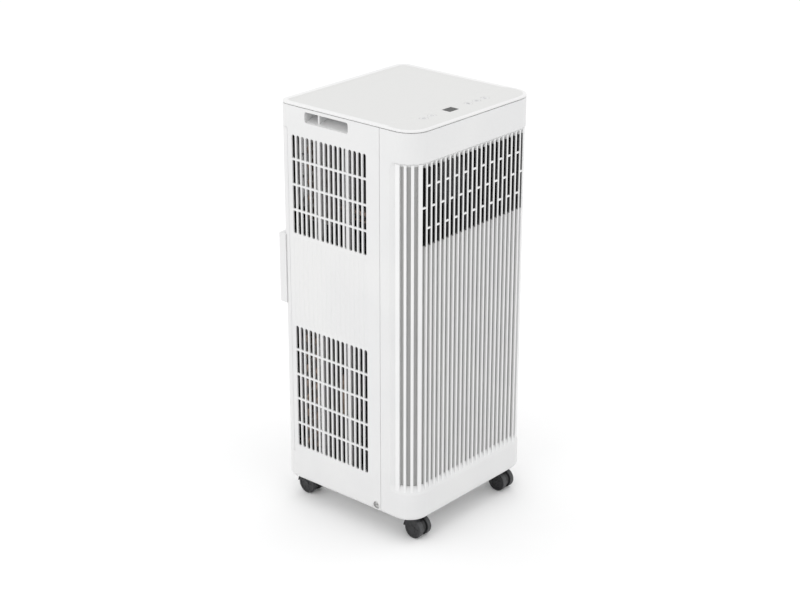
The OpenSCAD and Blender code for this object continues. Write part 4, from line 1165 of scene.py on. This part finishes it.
def key_marks(kind, mesh_data, x, y, z):
    if kind == "power":
        ring_mark(mesh_data, x, y, z, 2.3, 0.5, 120, 300)
        bar_mark(mesh_data, x, y, z, (-0.25, 0.6), (0.25, 2.9))
    if kind == "mode":
        for turn in (20, 140, 260):
            ring_mark(mesh_data, x, y, z, 2.3, 0.5, turn, 80)
    if kind == "speed":
        for radius in (1.0, 1.9, 2.8):
            for start in (30, 210):
                ring_mark(mesh_data, x, y, z, radius, 0.4, start, 120)
    if kind == "timer":
        ring_mark(mesh_data, x, y, z, 2.5, 0.45, 0, 350)
        bar_mark(mesh_data, x, y, z, (-0.2, 0.0), (0.2, 1.7))
        bar_mark(mesh_data, x, y, z, (0.2, 0.0), (1.4, 0.4))
    if kind == "sleep":
        ring_mark(mesh_data, x, y, z, 2.3, 0.5, 60, 240)
        ring_mark(mesh_data, x + 1.0 * MM, y + 0.6 * MM, z, 1.9, 0.4, 95, 170)


KEY_SECTION = ((1.8, -8.9), (1.8, -4.4), (7.6, -4.4), (7.6, -3.3), (6.5, -3.2), (6.5, -0.75), (6.42, -0.42),
               (6.2, -0.14), (5.8, -0.02), (5.3, 0.0), (4.2, -0.13), (2.4, -0.2))
for kind, x in zip(("power", "mode", "speed", "timer", "sleep"), KEY_XS):
    key_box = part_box(kind + "_key")
    mesh_data = bmesh.new()
    add_loops(mesh_data, [circle(x, KEY_ROW_Y, max(TOP_Z + h * MM, key_box[0].z), r * MM, 48)
                          for r, h in KEY_SECTION])
    key_marks(kind, mesh_data, x, KEY_ROW_Y, TOP_Z - 0.06 * MM)
    key = to_object(kind + "_button_cap", mesh_data, (key_white, ink_grey), 40)
    stands_for(key, kind + "_key")

display_low, display_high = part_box("display_window")
mesh_data = bmesh.new()
display_loops = []
for inset, z in ((0.3, display_low.z), (0.0, display_low.z + 0.3 * MM), (0.0, display_high.z - 0.5 * MM),
                 (0.15, display_high.z - 0.15 * MM), (0.5, display_high.z), (2.0, display_high.z),
                 (2.3, display_high.z - 0.08 * MM)):
    display_loops.append(flat_loop(DISPLAY_X, KEY_ROW_Y, z, 21 * MM, 16.5 * MM, 1.0 * MM, -inset * MM))
add_loops(mesh_data, display_loops)
display = to_object("display_glass", mesh_data, (display_glass,), 40)
stands_for(display, "display_window")

# %% [markdown]
# ## Exhaust surround
#
# The warm air leaves through an oblong duct at the back. Round it is a raised pad that squares off the
# rear corners, with an undercut seat open at one side, so that the hose adapter slides in from there.
# The plan of the pad is swept upwards, and the duct and the seat are cut from it.

# %% Exhaust surround
pad_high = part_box("exhaust_frame")[1]
PAD_Y = REAR_Y - 10 * MM
PAD_Z = (337 * MM, 450 * MM)
PAD_ROUND = 1.6 * MM
SEAT_HALF = 52.5 * MM
LIP = 3 * MM
DUCT_W, DUCT_H = 190 * MM, 88 * MM
SEAT_END = -107 * MM               # the seat is closed at this side and open at the other
HUG = REAR_R + 0.1 * MM            # radius of the pad's inside, a little clear of the casing
DUCT_SECTION = ((0.0, REAR_Y - 30 * MM), (3 * MM, REAR_Y - 30 * MM), (3 * MM, REAR_Y + 0.5 * MM),
                (0.0, REAR_Y + 0.5 * MM))


def pad_plan():
    """The pad's plan: rounded outside corners, and the casing's own outline on the inside."""
    arc_x, arc_y = HALF_W - REAR_R, REAR_Y - REAR_R
    reach = math.sqrt(HUG ** 2 - (PAD_Y - arc_y) ** 2)
    half = math.asin((PAD_Y - arc_y) / HUG)
    turn = [math.pi / 2 - (math.pi / 2 - half) * i / 8 for i in range(8)]
    right = [(arc_x + HUG * math.cos(a), arc_y + HUG * math.sin(a)) for a in turn]
    right += [(arc_x + reach, PAD_Y), (HALF_W, PAD_Y)]
    for a in [math.pi / 2 * i / 5 for i in range(6)]:
        right.append((HALF_W - PAD_ROUND * (1 - math.cos(a)), pad_high.y - PAD_ROUND * (1 - math.sin(a))))
    return right + [(-x, y) for x, y in reversed(right)]


def upright_loops(plan, z0, z1, soften):
    """Loops of a plan swept upwards, pulled in a little at both ends."""
    loops = []
    for z, pull in ((z0, soften), (z0 + soften, 0), (z1 - soften, 0), (z1, soften)):
        loops.append([Vector((x - math.copysign(pull, x) * (abs(x) > HALF_W - 4 * MM),
                              y - pull * (y > REAR_Y + 3 * MM), z)) for x, y in plan])
    return loops


def through_y(z, w, h, y0, y1):
    """Loops of an oblong swept along Y, both ends shown."""
    arcs = rounded(0, z, w, h, h / 2 - HAIR, None, 12)(0)
    return [[Vector((x, y, up)) for arc in arcs for x, up in arc] for y in (y0, y1)]


def box_loops(low, high):
    return [[Vector((*p, z)) for p in rectangle(low, high)] for z in (low[2], high[2])]


pad_mesh = bmesh.new()
add_loops(pad_mesh, upright_loops(pad_plan(), *PAD_Z, 0.8 * MM))
surround = to_object("exhaust_surround", pad_mesh, (casing_white, charcoal_and_shade), 40)
duct = hole_cutter(through_y(OUTLET_Z, DUCT_W, DUCT_H, PAD_Y, pad_high.y + 5 * MM))
seat = hole_cutter(box_loops((SEAT_END, pad_high.y - 2.6 * MM, OUTLET_Z - SEAT_HALF),
                             (HALF_W + MM, pad_high.y - 1.2 * MM, OUTLET_Z + SEAT_HALF)))
mouth = hole_cutter(box_loops((SEAT_END, pad_high.y - 2 * MM, OUTLET_Z - SEAT_HALF + LIP),
                              (HALF_W + MM, pad_high.y + MM, OUTLET_Z + SEAT_HALF - LIP)))
carve(surround, [duct, seat, mouth])
duct_mesh = bmesh.new()
duct_mesh.from_mesh(surround.data)
ring_frame(duct_mesh, lambda x, z, y: Vector((x, y, z)),
           (-DUCT_W / 2, DUCT_W / 2, OUTLET_Z - DUCT_H / 2, OUTLET_Z + DUCT_H / 2), DUCT_H / 2 - HAIR,
           DUCT_SECTION, 12, 1)
bmesh.ops.recalc_face_normals(duct_mesh, faces=duct_mesh.faces)
duct_mesh.to_mesh(surround.data)
duct_mesh.free()
stands_for(surround, "exhaust_frame")

# %% [markdown]
# ## Caster wheels
#
# Each caster has two narrow wheels on one axle. A wheel is turned: a flat tread with rounded edges, a
# hub set back on the outside and six ribs in it. The tread is painted a little paler than the disc as
# painted light, since the tread faces the light.

# %% Caster wheels
WHEEL_RIBS = 6
WHEEL_STEPS = 56
TREAD_R = 15.5 * MM    # faces further out than this take the tread's finish
# The wheel's section as (radius, place along the axle from the inner face) in millimetres.
WHEEL_SECTION = ((2.1, 0.0), (14.6, 0.0), (15.4, 0.25), (15.9, 0.9), (16.0, 1.7), (16.0, 6.9), (15.9, 7.7),
                 (15.4, 8.35), (14.6, 8.6), (12.4, 8.6), (12.0, 8.35), (11.9, 7.7), (11.5, 7.4), (4.6, 7.3),
                 (4.3, 7.5), (4.2, 8.1), (3.9, 8.4), (1.2, 8.5))


def wheel(corner, where):
    node = f"wheel_{corner}_{where}"
    low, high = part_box(node)
    hub_low, hub_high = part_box("axle_" + corner)
    outward = 1 if low.x + high.x > hub_low.x + hub_high.x else -1
    start = low.x if outward > 0 else high.x
    y, z = (low.y + high.y) / 2, (low.z + high.z) / 2
    turns = [2 * math.pi * i / WHEEL_STEPS for i in range(WHEEL_STEPS)]
    loops = [[Vector((start + outward * h * MM, y + r * MM * math.cos(a), z + r * MM * math.sin(a)))
              for a in turns] for r, h in WHEEL_SECTION]
    mesh_data = bmesh.new()
    for face in add_loops(mesh_data, loops):
        centre = face.calc_center_median()
        if math.hypot(centre.y - y, centre.z - z) > TREAD_R:
            face.material_index = 1
    for k in range(WHEEL_RIBS):
        a = 2 * math.pi * k / WHEEL_RIBS
        out, across = Vector((0, math.cos(a), math.sin(a))), Vector((0, -math.sin(a), math.cos(a)))
        rib = []
        for r, half in ((4.2, 0.8), (11.9, 0.6)):
            base = Vector((start, y, z)) + out * r * MM
            rib.append([base + across * half * MM * s + Vector((outward * h * MM, 0, 0))
                        for s, h in ((-1, 7.2), (1, 7.2), (0.6, 7.9), (-0.6, 7.9))])
        add_loops(mesh_data, rib)
    made = to_object(f"roller_{corner}_{where}", mesh_data, (caster_black, tread_painted_light), 35)
    stands_for(made, node)


for corner in ("front_left", "front_right", "rear_left", "rear_right"):
    for where in ("outer", "inner"):
        wheel(corner, where)

# %% [markdown]
# ## Finishes on the parts that keep their own mesh
#
# The inner parts are seen only through the slots or when a filter is out, so their engineering meshes
# are good enough. Each takes the finish of its material slot: charcoal darkened as painted shade for
# the ducts, copper for the pipes, foil with painted shade between the fins for the coils and so on.

# %% Finish the inner parts
slot_finishes = {"casing_white": casing_white, "top_white": top_white, "display_smoke": display_glass,
                 "circuit_board": circuit_green, "filter_net": net_grey, "inner_charcoal": charcoal_and_shade,
                 "compressor_black": compressor_paint, "rubber_black": rubber_black,
                 "fin_aluminium": fin_aluminium, "copper_tube": copper_tube, "motor_steel": motor_steel,
                 "box_black": charcoal_and_shade, "screw_steel": screw_steel, "caster_black": caster_black}
slot_of = {part["node"]: part["material_slot"] for part in frame["record"]["subparts"]}
finished = 0
for node, obj in frame["nodes"].items():
    for material_slot in obj.material_slots:
        material_slot.link = "OBJECT"
        material_slot.material = slot_finishes[slot_of[node]]
        finished += 1
print("finished:", finished, "imported meshes")

# %% [markdown]
# ## Floor, light and camera
#
# A white machine on white needs light that is soft but not even, or its edges vanish. A white floor and
# a white sky give the fill, and large lamps from the left and from above make the side a little
# brighter than the front. The camera looks down on the left front corner with a long lens.

# %% Floor and light
def plain_floor():
    finish = Finish("floor")
    finish.put(Base_Color=finish.mix(finish.noise(0.3, 3.0), (0.90, 0.90, 0.90), (0.93, 0.93, 0.93)),
               Roughness=0.75 + 0.1 * finish.noise(0.05))
    mesh_data = bmesh.new()
    bmesh.ops.create_grid(mesh_data, x_segments=12, y_segments=12, size=9.0)
    floor = to_object("floor", mesh_data, (finish.material,))


plain_floor()
world = bpy.data.worlds.new("studio")
bpy.context.scene.world = world
world.use_nodes = True
world.node_tree.nodes["Background"].inputs["Color"].default_value = (1.0, 1.0, 1.0, 1)
world.node_tree.nodes["Background"].inputs["Strength"].default_value = 1.14


def lamp(name, place, aim, size, power):
    data = bpy.data.lights.new(name, "AREA")
    data.shape = "DISK"
    data.size = size
    data.energy = power
    made = bpy.data.objects.new(name, data)
    made.location = place
    made.rotation_euler = (Vector(aim) - Vector(place)).to_track_quat("-Z", "Y").to_euler()
    bpy.context.scene.collection.objects.link(made)


lamp("left lamp", (-2.6, 0.2, 1.5), (0, 0, 0.35), 1.6, 7)
lamp("high lamp", (0.4, -1.0, 2.8), (0, 0, 0.4), 1.8, 3)
bpy.context.scene.view_settings.view_transform = "Standard"

# %% Camera
AZIMUTH, ELEVATION = math.radians(-48.901), math.radians(22.224)
DISTANCE = 2.8585
FOCAL_LENGTH = 82.901    # in mm, on a sensor 36 mm wide
AIM = Vector((-0.0166, -0.002, 0.3363))
back = Vector((math.sin(AZIMUTH) * math.cos(ELEVATION), -math.cos(AZIMUTH) * math.cos(ELEVATION),
               math.sin(ELEVATION)))
lens = bpy.data.cameras.new("camera")
lens.lens = FOCAL_LENGTH
lens.sensor_width = 36
camera = bpy.data.objects.new("camera", lens)
camera.location = AIM + back * DISTANCE
camera.rotation_euler = (-back).to_track_quat("-Z", "Y").to_euler()
bpy.context.scene.collection.objects.link(camera)
bpy.context.scene.camera = camera
print("camera at", [round(v, 3) for v in camera.location])
